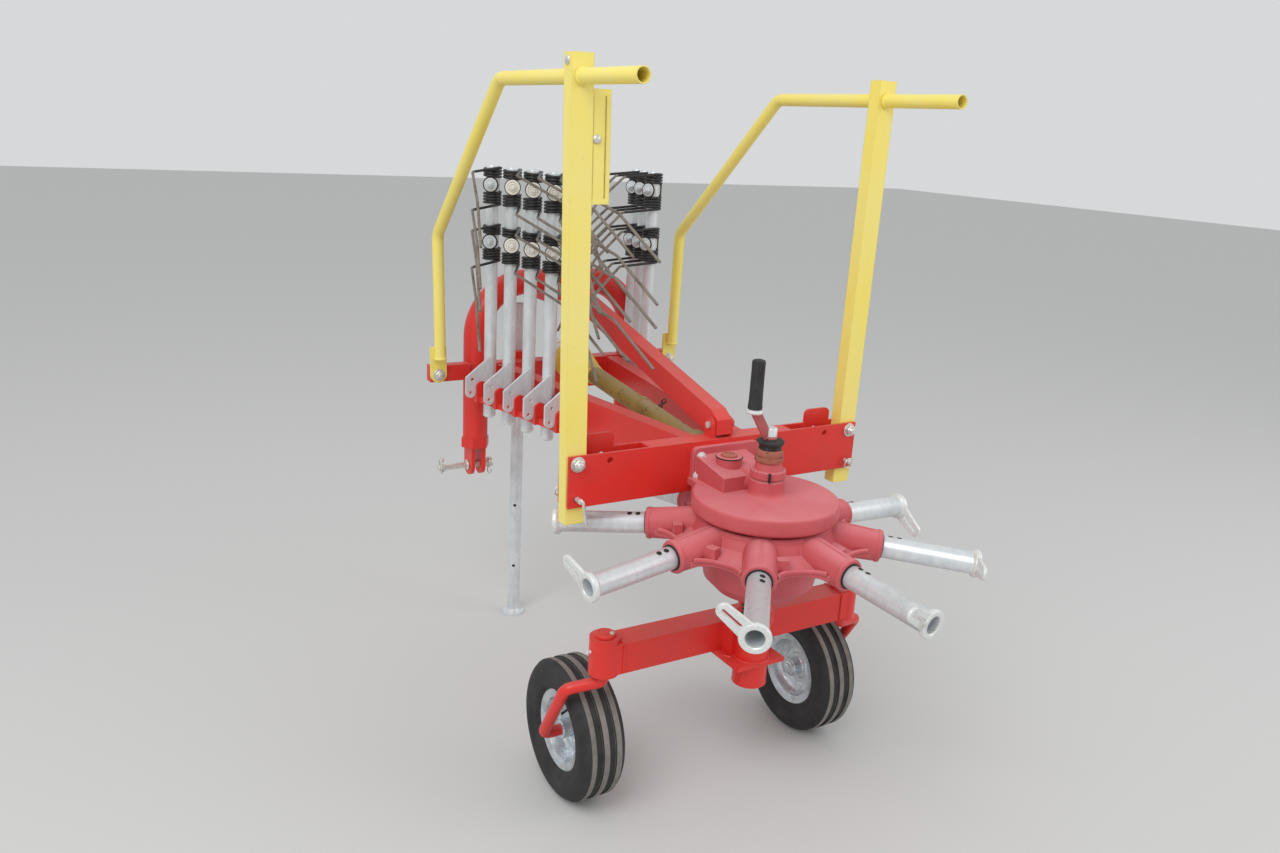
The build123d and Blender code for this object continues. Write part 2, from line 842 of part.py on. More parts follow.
# Undercarriage beam with its swivel tubes
with BuildPart() as under:
    with BuildSketch(Plane.XY.offset(under_low)):
        with Locations((0, under_rear + under_deep / 2)):
            Rectangle(2 * swivel_x, under_deep)
    extrude(amount=under_top - under_low)
    with BuildSketch(Plane.YZ.offset(-swivel_x)):
        with Locations((under_rear + under_deep / 2, (under_low + under_top) / 2)):
            Rectangle(under_deep - 2 * under_wall, under_top - under_low - 2 * under_wall)
    extrude(amount=2 * swivel_x, mode=Mode.SUBTRACT)
    for side in (-1, 1):
        with BuildSketch(Plane.XY.offset(swivel_low)):
            with Locations((side * swivel_x, under_rear + under_deep / 2)):
                Circle(under_deep / 2 + 2)
        extrude(amount=swivel_top - swivel_low)
        with BuildSketch(Plane.XY.offset(swivel_low)):
            with Locations((side * swivel_x, under_rear + under_deep / 2)):
                Circle(swivel_pin / 2 + seat_gap)
        extrude(amount=swivel_top - swivel_low, mode=Mode.SUBTRACT)
    with BuildSketch(Plane.XY.offset(under_low - foot_plate_thick)):
        with Locations((0, foot_plate_mid)):
            Rectangle(foot_plate, foot_plate)
    extrude(amount=foot_plate_thick)
    with BuildSketch(Plane.XY.offset(under_low)):
        with Locations((0, (saddle_rear + under_rear + under_wall) / 2)):
            Rectangle(saddle_wide, under_rear + under_wall - saddle_rear)
    extrude(amount=under_top - under_low)
    with BuildSketch(Plane.XY.offset(under_low - foot_plate_thick)):
        Circle(column_round / 2)
    extrude(amount=under_top - under_low + foot_plate_thick, mode=Mode.SUBTRACT)
keep(under, "undercarriage_beam")

# Casters: pin in the swivel tube, bent bar round the outside of the wheel, stub axle
swivel_y = under_rear + under_deep / 2
wheel_y = swivel_y + caster_trail
for side, name in ((-1, "left"), (1, "right")):
    outside = swivel_x + tyre_wide / 2 + wheel_gap + caster_bar / 2
    bar_z = swivel_low - 24
    with BuildPart() as caster:
        with BuildSketch(Plane.XY.offset(bar_z)):
            with Locations((side * swivel_x, swivel_y)):
                Circle(swivel_pin / 2)
        extrude(amount=swivel_top + 10 - bar_z)
        with BuildSketch(Plane.XY.offset(swivel_top + seat_gap)):
            with Locations((side * swivel_x, swivel_y)):
                Circle(swivel_pin / 2 + 10)
        extrude(amount=10)
        with BuildLine() as caster_line:
            FilletPolyline(
                (side * swivel_x, swivel_y, bar_z + 16),
                (side * swivel_x, swivel_y, bar_z - 4),
                (side * outside, swivel_y + 30, bar_z - 20),
                (side * outside, wheel_y, tyre_radius),
                (side * (swivel_x - 30), wheel_y, tyre_radius),
                radius=14,
            )
        with BuildSketch(Plane(origin=(side * swivel_x, swivel_y, bar_z + 16), z_dir=(0, 0, -1))):
            RegularPolygon(caster_bar / 2, 12)
        sweep(path=caster_line.wires()[0], transition=Transition.RIGHT)
    keep(caster, "caster_" + name)

    with BuildPart() as rim:
        with BuildSketch(Plane.XY):
            with BuildLine():
                Polyline(
                    (caster_bar / 2 + seat_gap, -46),
                    (caster_bar / 2 + 12, -46),
                    (caster_bar / 2 + 12, -12),
                    (rim_radius - 26, -12),
                    (rim_radius - 12, -rim_wide / 2),
                    (rim_radius, -rim_wide / 2),
                    (rim_radius - 8, -rim_wide / 2 + 14),
                    (rim_radius - 12, 0),
                    (rim_radius - 8, rim_wide / 2 - 14),
                    (rim_radius, rim_wide / 2),
                    (rim_radius - 12, rim_wide / 2),
                    (rim_radius - 20, 4),
                    (caster_bar / 2 + 12, 4),
                    (caster_bar / 2 + 12, 46),
                    (caster_bar / 2 + seat_gap, 46),
                    close=True,
                )
            make_face()
        revolve(axis=Axis.Y)
    turned = rim.part.rotate(Axis.Z, 90 * side).moved(Location((side * swivel_x, wheel_y, tyre_radius)))
    turned.label = "rim_" + name
    finished.append(turned)

    with BuildPart() as tyre:
        with BuildSketch(Plane.XY):
            with BuildLine():
                w = tyre_wide / 2
                Polyline(
                    (rim_radius - 11.7, 0),
                    (rim_radius - 7.7, -rim_wide / 2 + 14),
                    (rim_radius + 0.3, -rim_wide / 2),
                    (rim_radius + 14, -w + 8),
                    (tyre_radius - 40, -w),
                    (tyre_radius - 14, -w + 8),
                    (tyre_radius - 4, -w + 26),
                    (tyre_radius, -w + 40),
                    (tyre_radius, w - 40),
                    (tyre_radius - 4, w - 26),
                    (tyre_radius - 14, w - 8),
                    (tyre_radius - 40, w),
                    (rim_radius + 14, w - 8),
                    (rim_radius + 0.3, rim_wide / 2),
                    (rim_radius - 7.7, rim_wide / 2 - 14),
                    close=True,
                )
            make_face()
        revolve(axis=Axis.Y)
    turned = tyre.part.rotate(Axis.Z, 90 * side).moved(Location((side * swivel_x, wheel_y, tyre_radius)))
    turned.label = "tyre_" + name
    finished.append(turned)

# Stand: sleeve on the front of the cross bar, leg with a round foot
stand_y = leg_y + leg_tube / 2 + stand_clear + stand_tube / 2
sleeve_rear = leg_y + cross_deep / 2
sleeve_front = stand_y + stand_sleeve / 2
with BuildPart() as sleeve:
    with BuildSketch(Plane.XY.offset(sleeve_low)):
        with Locations((stand_x, (sleeve_rear + sleeve_front) / 2)):
            Rectangle(stand_sleeve, sleeve_front - sleeve_rear)
        with Locations((stand_x, stand_y)):
            Circle(stand_tube / 2 + seat_gap, mode=Mode.SUBTRACT)
    extrude(amount=sleeve_top - sleeve_low)
keep(sleeve, "stand_sleeve")

with BuildPart() as stand:
    with BuildSketch(Plane.XY.offset(foot_thick)):
        with Locations((stand_x, stand_y)):
            Circle(stand_tube / 2)
            Circle(stand_tube / 2 - stand_wall, mode=Mode.SUBTRACT)
    extrude(amount=stand_top - foot_thick)
    with BuildSketch(Plane.XY):
        with Locations((stand_x, stand_y)):
            Circle(foot_round / 2)
    extrude(amount=foot_thick)
keep(stand, "stand_leg")

# Guards: upright, bent rail, front foot plate, leaning outwards about their pivots
for side, name in ((-1, "left"), (1, "right")):
    upright_y = beam_rear + plate_thick + upright_side_gap + upright_deep / 2
    with BuildPart() as upright:
        with BuildSketch(Plane.XY.offset(guard_low)):
            with Locations((side * pivot_x, upright_y)):
                Rectangle(upright_wide, upright_deep)
                Rectangle(upright_wide - 2 * upright_wall, upright_deep - 2 * upright_wall, mode=Mode.SUBTRACT)
        extrude(amount=guard_top - guard_low)
        with BuildSketch(Plane.XZ.offset(-upright_y - upright_deep)):
            with Locations((side * pivot_x, pivot_z)):
                Circle(pivot_pin / 2 + seat_gap)
            with Locations((side * pivot_x, pivot_z - lock_step)):
                Circle(lock_hole / 2)
            with Locations((side * pivot_x, rail_z)):
                Circle(rail_round / 2)
        extrude(amount=2 * upright_deep, mode=Mode.SUBTRACT)
        if side < 0:
            with BuildSketch(Plane.XY.offset(arm_box_low)):
                with Locations((side * (pivot_x - (upright_wide + arm_box_wide) / 2), upright_y)):
                    Rectangle(arm_box_wide + 2, upright_deep - 4)
            extrude(amount=arm_box_top - arm_box_low)
    keep_leaning(upright, "guard_upright_" + name, side)

    with BuildPart() as rail:
        rail_x = side * pivot_x
        with BuildLine() as rail_line:
            FilletPolyline(
                (rail_x, rail_rear, rail_z),
                (rail_x, rail_knee, rail_z),
                (rail_x, rail_front, rail_low_knee),
                (rail_x, rail_front, rail_end),
                radius=rail_bend,
            )
        with BuildSketch(Plane(origin=(rail_x, rail_rear, rail_z), z_dir=(0, 1, 0))):
            Circle(rail_round / 2)
            Circle(rail_round / 2 - rail_wall, mode=Mode.SUBTRACT)
        sweep(path=rail_line.wires()[0])
        with BuildSketch(Plane.XZ.offset(-arm_rear + front_gap + front_plate)):
            with Locations((side * pivot_x, (rail_end + pivot_z) / 2 + 20)):
                Rectangle(upright_wide - 4, rail_end - pivot_z + 40)
            with Locations((side * pivot_x, pivot_z)):
                Circle(upright_wide / 2 - 2)
            with Locations((side * pivot_x, pivot_z)):
                Circle(pivot_pin / 2 + seat_gap, mode=Mode.SUBTRACT)
        extrude(amount=-front_plate)
    keep_leaning(rail, "guard_rail_" + name, side)

    with BuildPart() as pivots:
        for far, near in ((beam_front, beam_rear), (arm_rear + arm_deep, arm_rear - front_gap - front_plate)):
            with BuildSketch(Plane.XZ.offset(-far - bolt_head)):
                with Locations((side * pivot_x, pivot_z)):
                    Circle(pivot_pin / 2)
            extrude(amount=far - near + 2 * bolt_head)
            for head in (far + seat_gap + bolt_head, near - seat_gap):
                with BuildSketch(Plane.XZ.offset(-head)):
                    with Locations((side * pivot_x, pivot_z)):
                        RegularPolygon(bolt_wide / 2, 6, major_radius=False)
                extrude(amount=bolt_head)
    keep(pivots, "guard_bolts_" + name)

# Drive shaft: its rear end at the input shaft, its front yoke resting on the cross bar
input_end = beam_front + 56
drive_rear = Vector(0, input_end + 2 * seat_gap, drive_rear_z)
drive_front = Vector(0, leg_y - cross_deep / 2, cross_top + drive_yoke / 2 + 2 * seat_gap)
drive_plane = Plane(origin=drive_rear, x_dir=(1, 0, 0), z_dir=drive_front - drive_rear)
yoke_end = (drive_front - drive_rear).length + yoke_past
with BuildPart() as drive:
    with BuildSketch(drive_plane):
        Circle(drive_tube / 2)
    extrude(amount=cone_from)
    with BuildSketch(drive_plane.offset(cone_from)):
        Circle(drive_tube / 2)
    with BuildSketch(drive_plane.offset(cone_from + cone_long)):
        Circle(drive_cone / 2)
    loft()
    with BuildSketch(drive_plane.offset(cone_from + cone_long)):
        Circle(drive_yoke / 2)
    extrude(amount=yoke_end - cone_from - cone_long)
    with BuildSketch(drive_plane.offset(yoke_end - yoke_bore_long)):
        Circle(yoke_bore / 2)
    extrude(amount=yoke_bore_long, mode=Mode.SUBTRACT)
keep(drive, "drive_guard")

with BuildPart() as input_shaft:
    with BuildSketch(Plane.XZ.offset(-beam_rear)):
        with Locations((0, shaft_z)):
            Circle(input_round / 2)
    extrude(amount=-(input_end - beam_rear))
keep(input_shaft, "input_shaft")

# Set the origin at the middle of the bottom of the whole machine and write the files
low = [1e9, 1e9, 1e9]
high = [-1e9, -1e9, -1e9]
for solid in finished:
    box = solid.bounding_box()
    for i, (a, b) in enumerate(zip(tuple(box.min), tuple(box.max))):
        low[i] = min(low[i], a)
        high[i] = max(high[i], b)
shift = (-(low[0] + high[0]) / 2, -(low[1] + high[1]) / 2, -low[2])
print("origin shift", [round(s, 3) for s in shift], "size", [round(b - a, 1) for a, b in zip(low, high)])
for solid in finished:
    placed = solid.moved(Location(shift))
    placed.label = solid.label
    export_step(placed, "parts/" + solid.label + ".step")
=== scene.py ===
import bpy
import json
import math
from mathutils import Matrix, Vector


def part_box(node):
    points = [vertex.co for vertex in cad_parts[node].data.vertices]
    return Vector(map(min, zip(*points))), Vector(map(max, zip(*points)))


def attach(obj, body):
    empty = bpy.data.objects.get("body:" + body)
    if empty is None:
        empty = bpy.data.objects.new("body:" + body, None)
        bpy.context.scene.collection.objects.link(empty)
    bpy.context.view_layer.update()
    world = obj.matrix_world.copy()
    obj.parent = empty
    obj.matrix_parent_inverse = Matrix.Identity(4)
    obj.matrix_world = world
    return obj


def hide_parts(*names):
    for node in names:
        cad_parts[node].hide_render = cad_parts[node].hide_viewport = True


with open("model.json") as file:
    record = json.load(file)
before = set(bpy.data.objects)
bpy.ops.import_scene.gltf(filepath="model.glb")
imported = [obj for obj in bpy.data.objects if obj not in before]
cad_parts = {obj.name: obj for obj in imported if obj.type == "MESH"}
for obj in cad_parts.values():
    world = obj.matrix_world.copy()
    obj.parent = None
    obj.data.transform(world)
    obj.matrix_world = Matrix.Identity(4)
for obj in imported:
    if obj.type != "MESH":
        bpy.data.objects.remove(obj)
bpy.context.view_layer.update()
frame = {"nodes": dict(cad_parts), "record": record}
nodes = frame["nodes"]
print("frame loaded")

# The floor point under the rotor's axis, which most places are counted from
columnLow, columnHigh = (Vector(corner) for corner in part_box("column"))
axisX = (columnLow.x + columnHigh.x) / 2
axisY = (columnLow.y + columnHigh.y) / 2


# Materials

def nodeTree(name):
    material = bpy.data.materials.new(name)
    material.use_nodes = True
    tree = material.node_tree
    return material, tree, tree.nodes["Principled BSDF"]


def link(tree, source, target):
    tree.links.new(source, target)


# Object coordinates through a Mapping node
def objectPlace(tree, scale=(1, 1, 1)):
    place = tree.nodes.new("ShaderNodeTexCoord")
    mapping = tree.nodes.new("ShaderNodeMapping")
    mapping.inputs["Scale"].default_value = scale
    link(tree, place.outputs["Object"], mapping.inputs["Vector"])
    return mapping.outputs["Vector"]


def noise(tree, place, scale, detail=4.0, rough=0.6):
    node = tree.nodes.new("ShaderNodeTexNoise")
    node.inputs["Scale"].default_value = scale
    node.inputs["Detail"].default_value = detail
    node.inputs["Roughness"].default_value = rough
    link(tree, place, node.inputs["Vector"])
    return node.outputs["Fac"]


# A value between low and high, stretched to run from atLow to atHigh
def ramp(tree, value, low, high, atLow=0.0, atHigh=1.0):
    node = tree.nodes.new("ShaderNodeMapRange")
    node.inputs["From Min"].default_value = low
    node.inputs["From Max"].default_value = high
    node.inputs["To Min"].default_value = atLow
    node.inputs["To Max"].default_value = atHigh
    link(tree, value, node.inputs["Value"])
    return node.outputs["Result"]


def combine(tree, kind, first, second):
    node = tree.nodes.new("ShaderNodeMath")
    node.operation = kind
    for socket, value in zip(node.inputs, (first, second)):
        if isinstance(value, float):
            socket.default_value = value
        else:
            link(tree, value, socket)
    return node.outputs["Value"]


# Two colours mixed, each a triple or a socket
def mixColour(tree, share, first, second):
    node = tree.nodes.new("ShaderNodeMix")
    node.data_type = "RGBA"
    link(tree, share, node.inputs["Factor"])
    for socket, value in ((node.inputs["A"], first), (node.inputs["B"], second)):
        if isinstance(value, tuple):
            socket.default_value = value + (1.0,)
        else:
            link(tree, value, socket)
    return node.outputs["Result"]


# 1 where the surface looks up, 0 on walls and undersides
def facingUp(tree, low=0.55, high=0.95):
    geometry = tree.nodes.new("ShaderNodeNewGeometry")
    split = tree.nodes.new("ShaderNodeSeparateXYZ")
    link(tree, geometry.outputs["Normal"], split.inputs["Vector"])
    return ramp(tree, split.outputs["Z"], low, high)


# The normal, rounded across edges
def roundedNormal(tree, radius):
    rounded = tree.nodes.new("ShaderNodeBevel")
    rounded.samples = 6
    rounded.inputs["Radius"].default_value = radius
    return rounded.outputs["Normal"]


# 1 along sharp edges, 0 on faces
def edgeShare(tree, radius=0.003):
    rounded = roundedNormal(tree, radius)
    geometry = tree.nodes.new("ShaderNodeNewGeometry")
    dot = tree.nodes.new("ShaderNodeVectorMath")
    dot.operation = "DOT_PRODUCT"
    link(tree, rounded, dot.inputs[0])
    link(tree, geometry.outputs["Normal"], dot.inputs[1])
    return ramp(tree, dot.outputs["Value"], 0.97, 0.80)


# Bump from a height, on top of softened edges
def relief(tree, shader, height, strength, distance, softEdge):
    bump = tree.nodes.new("ShaderNodeBump")
    bump.inputs["Strength"].default_value = strength
    bump.inputs["Distance"].default_value = distance
    link(tree, height, bump.inputs["Height"])
    link(tree, roundedNormal(tree, softEdge), bump.inputs["Normal"])
    link(tree, bump.outputs["Normal"], shader.inputs["Normal"])


# What every finish of a kind has, unless its own settings say otherwise. Lengths are in metres.
common = {
    "paint": {"softEdge": 0.002, "bump": 0.0006},
    "metal": {"stretch": (1, 1, 1), "softEdge": 0.001, "bump": 0.0004},
    "rubber": {"softEdge": 0.001, "bump": 0.0006},
}
wearSpan = {"edges": 0.12, "chips": 0.015, "grime": 0.18}  # how soon each goes from none to full
dullness = {"dust": 0.35, "grime": 0.3}  # roughness that dirt adds


# Colour, unevenness and grain go to the shader
def finishLook(tree, shader, colour, gloss, grain, settings):
    link(tree, colour, shader.inputs["Base Color"])
    link(tree, gloss, shader.inputs["Roughness"])
    relief(tree, shader, grain, settings["grain"], settings["bump"], settings["softEdge"])


# Paint with dust on what faces up, stains, chips along the edges and an uneven gloss
def paint(name, ownSettings):
    settings = common["paint"] | ownSettings
    cloudScale, speckScale, grainScale = settings["scales"]
    material, tree, shader = nodeTree(name)
    place = objectPlace(tree)
    cloud = noise(tree, place, cloudScale, 5)
    speck = noise(tree, place, speckScale, 3, 0.7)
    colour = mixColour(tree, ramp(tree, cloud, 0.35, 0.68), settings["colour"], settings["second"])
    lying = ramp(tree, cloud, 0.30, 0.62, *settings["dustShare"])
    dust = combine(tree, "MULTIPLY", facingUp(tree), lying)
    colour = mixColour(tree, dust, colour, settings["dust"])
    rubbed = ramp(tree, speck, settings["wearFrom"], settings["wearFrom"] + wearSpan["edges"])
    colour = mixColour(tree, combine(tree, "MULTIPLY", edgeShare(tree), rubbed), colour, settings["bare"])
    chips = ramp(tree, speck, settings["chipFrom"], settings["chipFrom"] + wearSpan["chips"])
    colour = mixColour(tree, chips, colour, settings["chip"])
    gloss = combine(tree, "ADD", ramp(tree, cloud, 0.3, 0.7, *settings["rough"]),
                    combine(tree, "MULTIPLY", dust, dullness["dust"]))
    shader.inputs["Specular IOR Level"].default_value = 0.45
    finishLook(tree, shader, colour, gloss, noise(tree, place, grainScale, 3), settings)
    return material


# Plated or galvanised steel with cloudy spangle, streaks and grime
def metal(name, ownSettings):
    settings = common["metal"] | ownSettings
    cloudScale, spangleScale = settings["scales"]
    material, tree, shader = nodeTree(name)
    cloud = noise(tree, objectPlace(tree), cloudScale, 5)
    spangle = noise(tree, objectPlace(tree, settings["stretch"]), spangleScale, 3, 0.7)
    colour = mixColour(tree, ramp(tree, spangle, 0.3, 0.7), settings["colour"], settings["second"])
    grime = ramp(tree, cloud, settings["grimeFrom"], settings["grimeFrom"] + wearSpan["grime"], 0,
                 settings["grimeShare"])
    colour = mixColour(tree, grime, colour, settings["grime"])
    shader.inputs["Metallic"].default_value = settings["metallic"]
    gloss = combine(tree, "ADD", ramp(tree, spangle, 0.3, 0.7, *settings["rough"]),
                    combine(tree, "MULTIPLY", grime, dullness["grime"]))
    finishLook(tree, shader, colour, gloss, spangle, settings)
    return material


# Rubber with dust worked into it
def rubber(name, ownSettings):
    settings = common["rubber"] | ownSettings
    cloudScale, speckScale = settings["scales"]
    material, tree, shader = nodeTree(name)
    place = objectPlace(tree)
    cloud = noise(tree, place, cloudScale, 6, 0.65)
    colour = mixColour(tree, ramp(tree, cloud, 0.38, 0.70), settings["colour"], settings["second"])
    lying = ramp(tree, cloud, 0.35, 0.6, 0.35, 0.95)
    colour = mixColour(tree, combine(tree, "MULTIPLY", edgeShare(tree, settings["edge"]), lying), colour,
                       settings["dust"])
    gloss = ramp(tree, cloud, 0.3, 0.7, *settings["rough"])
    finishLook(tree, shader, colour, gloss, noise(tree, place, speckScale, 3), settings)
    return material


redPaint = paint("redPaint", {
    "colour": (0.76, 0.03, 0.022), "second": (0.66, 0.034, 0.026), "dust": (0.62, 0.17, 0.15),
    "bare": (0.3, 0.07, 0.05), "chip": (0.16, 0.06, 0.045), "scales": (5, 90, 260), "dustShare": (0.1, 0.5),
    "wearFrom": 0.5, "chipFrom": 0.7, "rough": (0.28, 0.42), "grain": 0.12,
})
castingRed = paint("castingRed", {
    "colour": (0.6, 0.105, 0.12), "second": (0.52, 0.08, 0.09), "dust": (0.68, 0.21, 0.23),
    "bare": (0.7, 0.3, 0.3), "chip": (0.24, 0.05, 0.045), "scales": (6, 70, 180), "dustShare": (0.35, 0.9),
    "wearFrom": 0.35, "chipFrom": 0.71, "rough": (0.45, 0.6), "grain": 0.35, "softEdge": 0.004,
})
guardYellow = paint("guardYellow", {
    "colour": (0.92, 0.76, 0.15), "second": (0.9, 0.78, 0.24), "dust": (0.86, 0.78, 0.42),
    "bare": (0.62, 0.46, 0.1), "chip": (0.42, 0.28, 0.1), "scales": (4, 80, 240), "dustShare": (0.1, 0.4),
    "wearFrom": 0.56, "chipFrom": 0.74, "rough": (0.35, 0.5), "grain": 0.1,
})
silverPaint = paint("silverPaint", {
    "colour": (0.62, 0.66, 0.7), "second": (0.5, 0.54, 0.58), "dust": (0.54, 0.53, 0.5),
    "bare": (0.3, 0.27, 0.24), "chip": (0.24, 0.17, 0.12), "scales": (14, 120, 300),
    "dustShare": (0.2, 0.6), "wearFrom": 0.5, "chipFrom": 0.7, "rough": (0.35, 0.5), "grain": 0.15,
})
drivePlastic = paint("drivePlastic", {
    "colour": (0.72, 0.5, 0.05), "second": (0.62, 0.44, 0.08), "dust": (0.6, 0.5, 0.25),
    "bare": (0.5, 0.36, 0.08), "chip": (0.2, 0.14, 0.05), "scales": (9, 70, 200), "dustShare": (0.3, 0.8),
    "wearFrom": 0.5, "chipFrom": 0.68, "rough": (0.4, 0.55), "grain": 0.1,
})
galvanised = metal("galvanised", {
    "colour": (0.78, 0.82, 0.84), "second": (0.64, 0.68, 0.71), "grime": (0.46, 0.47, 0.46),
    "scales": (7, 55), "grimeFrom": 0.54, "grimeShare": 0.4, "metallic": 0.35, "rough": (0.26, 0.4),
    "grain": 0.12, "stretch": (1, 1, 0.35), "softEdge": 0.0015,
})
zincPlate = metal("zincPlate", {
    "colour": (0.8, 0.8, 0.76), "second": (0.62, 0.61, 0.56), "grime": (0.3, 0.25, 0.19),
    "scales": (22, 120), "grimeFrom": 0.56, "grimeShare": 0.5, "metallic": 0.6, "rough": (0.26, 0.45),
    "grain": 0.15,
})
coilBlack = metal("coilBlack", {
    "colour": (0.018, 0.018, 0.02), "second": (0.035, 0.034, 0.034), "grime": (0.1, 0.085, 0.07),
    "scales": (18, 90), "grimeFrom": 0.56, "grimeShare": 0.5, "metallic": 0.2, "rough": (0.3, 0.48),
    "grain": 0.15,
})
gripBlack = rubber("gripBlack", {
    "colour": (0.012, 0.012, 0.013), "second": (0.03, 0.03, 0.03), "dust": (0.12, 0.11, 0.1),
    "scales": (30, 240), "edge": 0.002, "rough": (0.45, 0.65), "grain": 0.2,
})
tyreRubber = rubber("tyreRubber", {
    "colour": (0.014, 0.014, 0.016), "second": (0.045, 0.043, 0.042), "dust": (0.26, 0.24, 0.215),
    "scales": (16, 300), "edge": 0.004, "rough": (0.62, 0.85), "grain": 0.3, "softEdge": 0.002,
})
wornWire = metal("wornWire", {
    "colour": (0.2, 0.165, 0.135), "second": (0.3, 0.26, 0.22), "grime": (0.1, 0.07, 0.05),
    "scales": (14, 70), "grimeFrom": 0.5, "grimeShare": 0.7, "metallic": 0.45, "rough": (0.38, 0.6),
    "grain": 0.25, "stretch": (1, 1, 0.3),
})
paleZinc = metal("paleZinc", {
    "colour": (0.84, 0.86, 0.85), "second": (0.7, 0.72, 0.71), "grime": (0.36, 0.31, 0.25),
    "scales": (25, 140), "grimeFrom": 0.55, "grimeShare": 0.5, "metallic": 0.35, "rough": (0.32, 0.48),
    "grain": 0.12,
})
ivoryPlastic = paint("ivoryPlastic", {
    "colour": (0.74, 0.7, 0.6), "second": (0.66, 0.62, 0.52), "dust": (0.6, 0.56, 0.48),
    "bare": (0.5, 0.45, 0.36), "chip": (0.3, 0.26, 0.2), "scales": (18, 110, 300), "dustShare": (0.2, 0.5),
    "wearFrom": 0.55, "chipFrom": 0.72, "rough": (0.45, 0.6), "grain": 0.1, "softEdge": 0.001,
})
dustyRubber = rubber("dustyRubber", {
    "colour": (0.24, 0.22, 0.2), "second": (0.15, 0.14, 0.13), "dust": (0.34, 0.32, 0.29),
    "scales": (22, 260), "edge": 0.003, "rough": (0.75, 0.95), "grain": 0.4,
})
# Near-black rubber for valve stems, seals and dark seams; also painted shade: dark discs for holes, a dark
# plate for the clamp's slit and a dark ring round the bolts
blackAndPaintedShade = rubber("blackAndPaintedShade", {
    "colour": (0.01, 0.009, 0.009), "second": (0.022, 0.019, 0.018), "dust": (0.06, 0.05, 0.045),
    "scales": (30, 200), "edge": 0.001, "rough": (0.7, 0.9), "grain": 0.2, "softEdge": 0.0005,
})
brassBush = metal("brassBush", {
    "colour": (0.6, 0.42, 0.14), "second": (0.48, 0.34, 0.12), "grime": (0.2, 0.14, 0.08),
    "scales": (30, 150), "grimeFrom": 0.52, "grimeShare": 0.5, "metallic": 0.9, "rough": (0.28, 0.45),
    "grain": 0.1, "softEdge": 0.0005,
})
darkIron = metal("darkIron", {
    "colour": (0.09, 0.08, 0.075), "second": (0.16, 0.13, 0.11), "grime": (0.22, 0.12, 0.07),
    "scales": (40, 160), "grimeFrom": 0.5, "grimeShare": 0.6, "metallic": 0.6, "rough": (0.4, 0.6),
    "grain": 0.2, "softEdge": 0.0005,
})
rustyCasting = paint("rustyCasting", {
    "colour": (0.46, 0.1, 0.075), "second": (0.3, 0.1, 0.06), "dust": (0.5, 0.2, 0.15),
    "bare": (0.26, 0.12, 0.07), "chip": (0.12, 0.05, 0.03), "scales": (30, 80, 160),
    "dustShare": (0.2, 0.6), "wearFrom": 0.42, "chipFrom": 0.62, "rough": (0.55, 0.8), "grain": 0.6,
    "softEdge": 0.001,
})
dustyRed = paint("dustyRed", {
    "colour": (0.5, 0.1, 0.1), "second": (0.42, 0.09, 0.09), "dust": (0.55, 0.28, 0.26),
    "bare": (0.5, 0.3, 0.26), "chip": (0.22, 0.08, 0.06), "scales": (20, 90, 220), "dustShare": (0.3, 0.7),
    "wearFrom": 0.45, "chipFrom": 0.66, "rough": (0.45, 0.6), "grain": 0.3, "softEdge": 0.001,
})
creamPlastic = paint("creamPlastic", {
    "colour": (0.95, 0.93, 0.87), "second": (0.9, 0.87, 0.79), "dust": (0.8, 0.74, 0.62),
    "bare": (0.5, 0.42, 0.32), "chip": (0.34, 0.27, 0.19), "scales": (30, 150, 260),
    "dustShare": (0.1, 0.5), "wearFrom": 0.42, "chipFrom": 0.7, "rough": (0.35, 0.5), "grain": 0.12,
    "softEdge": 0.0006,
})
rimSilver = metal("rimSilver", {
    "colour": (0.74, 0.79, 0.83), "second": (0.58, 0.63, 0.67), "grime": (0.34, 0.32, 0.29),
    "scales": (16, 60), "grimeFrom": 0.5, "grimeShare": 0.6, "metallic": 0.85, "rough": (0.22, 0.38),
    "grain": 0.15, "softEdge": 0.0015,
})
# Darker copy of the drive guard's plastic for its rear tube, which lies between the beams: dust and painted
# shade
dustAndShadePlastic = paint("dustAndShadePlastic", {
    "colour": (0.36, 0.26, 0.05), "second": (0.24, 0.17, 0.04), "dust": (0.4, 0.32, 0.18),
    "bare": (0.3, 0.22, 0.08), "chip": (0.1, 0.07, 0.03), "scales": (12, 60, 200), "dustShare": (0.3, 0.9),
    "wearFrom": 0.45, "chipFrom": 0.64, "rough": (0.5, 0.7), "grain": 0.15, "softEdge": 0.001,
})
guardEdge = paint("guardEdge", {
    "colour": (0.34, 0.22, 0.06), "second": (0.5, 0.36, 0.1), "dust": (0.56, 0.44, 0.2),
    "bare": (0.26, 0.14, 0.05), "chip": (0.16, 0.08, 0.03), "scales": (26, 90, 200),
    "dustShare": (0.2, 0.5), "wearFrom": 0.5, "chipFrom": 0.66, "rough": (0.6, 0.8), "grain": 0.2,
    "softEdge": 0.0005,
})

finishes = {
    "red_paint": redPaint, "caster_steel": redPaint, "red_casting": castingRed, "guard_yellow": guardYellow,
    "galvanised": galvanised, "bright_steel": zincPlate, "spring_black": coilBlack,
    "silver_paint": silverPaint, "tyre": tyreRubber, "grip_black": gripBlack, "drive_yellow": drivePlastic,
}
for entry in frame["record"]["subparts"]:
    cadNode = nodes[entry["node"]]
    cadNode.data.materials.clear()
    cadNode.data.materials.append(finishes[entry["material_slot"]])
print("materials assigned")


# Modelling. Places are counted in millimetres from the floor point under the rotor's axis.

sides = ((-1, "left"), (1, "right"))
joinDistance = 0.00001  # metres, under which two points are one


def spot(x, y, z):
    return Vector((x / 1000 + axisX, y / 1000 + axisY, z / 1000))


def clearSelection():
    bpy.ops.object.select_all(action="DESELECT")


def only(piece):
    clearSelection()
    piece.select_set(True)
    bpy.context.view_layer.objects.active = piece


def settle(piece):
    only(piece)
    bpy.ops.object.transform_apply(location=True, rotation=True, scale=True)
    return piece


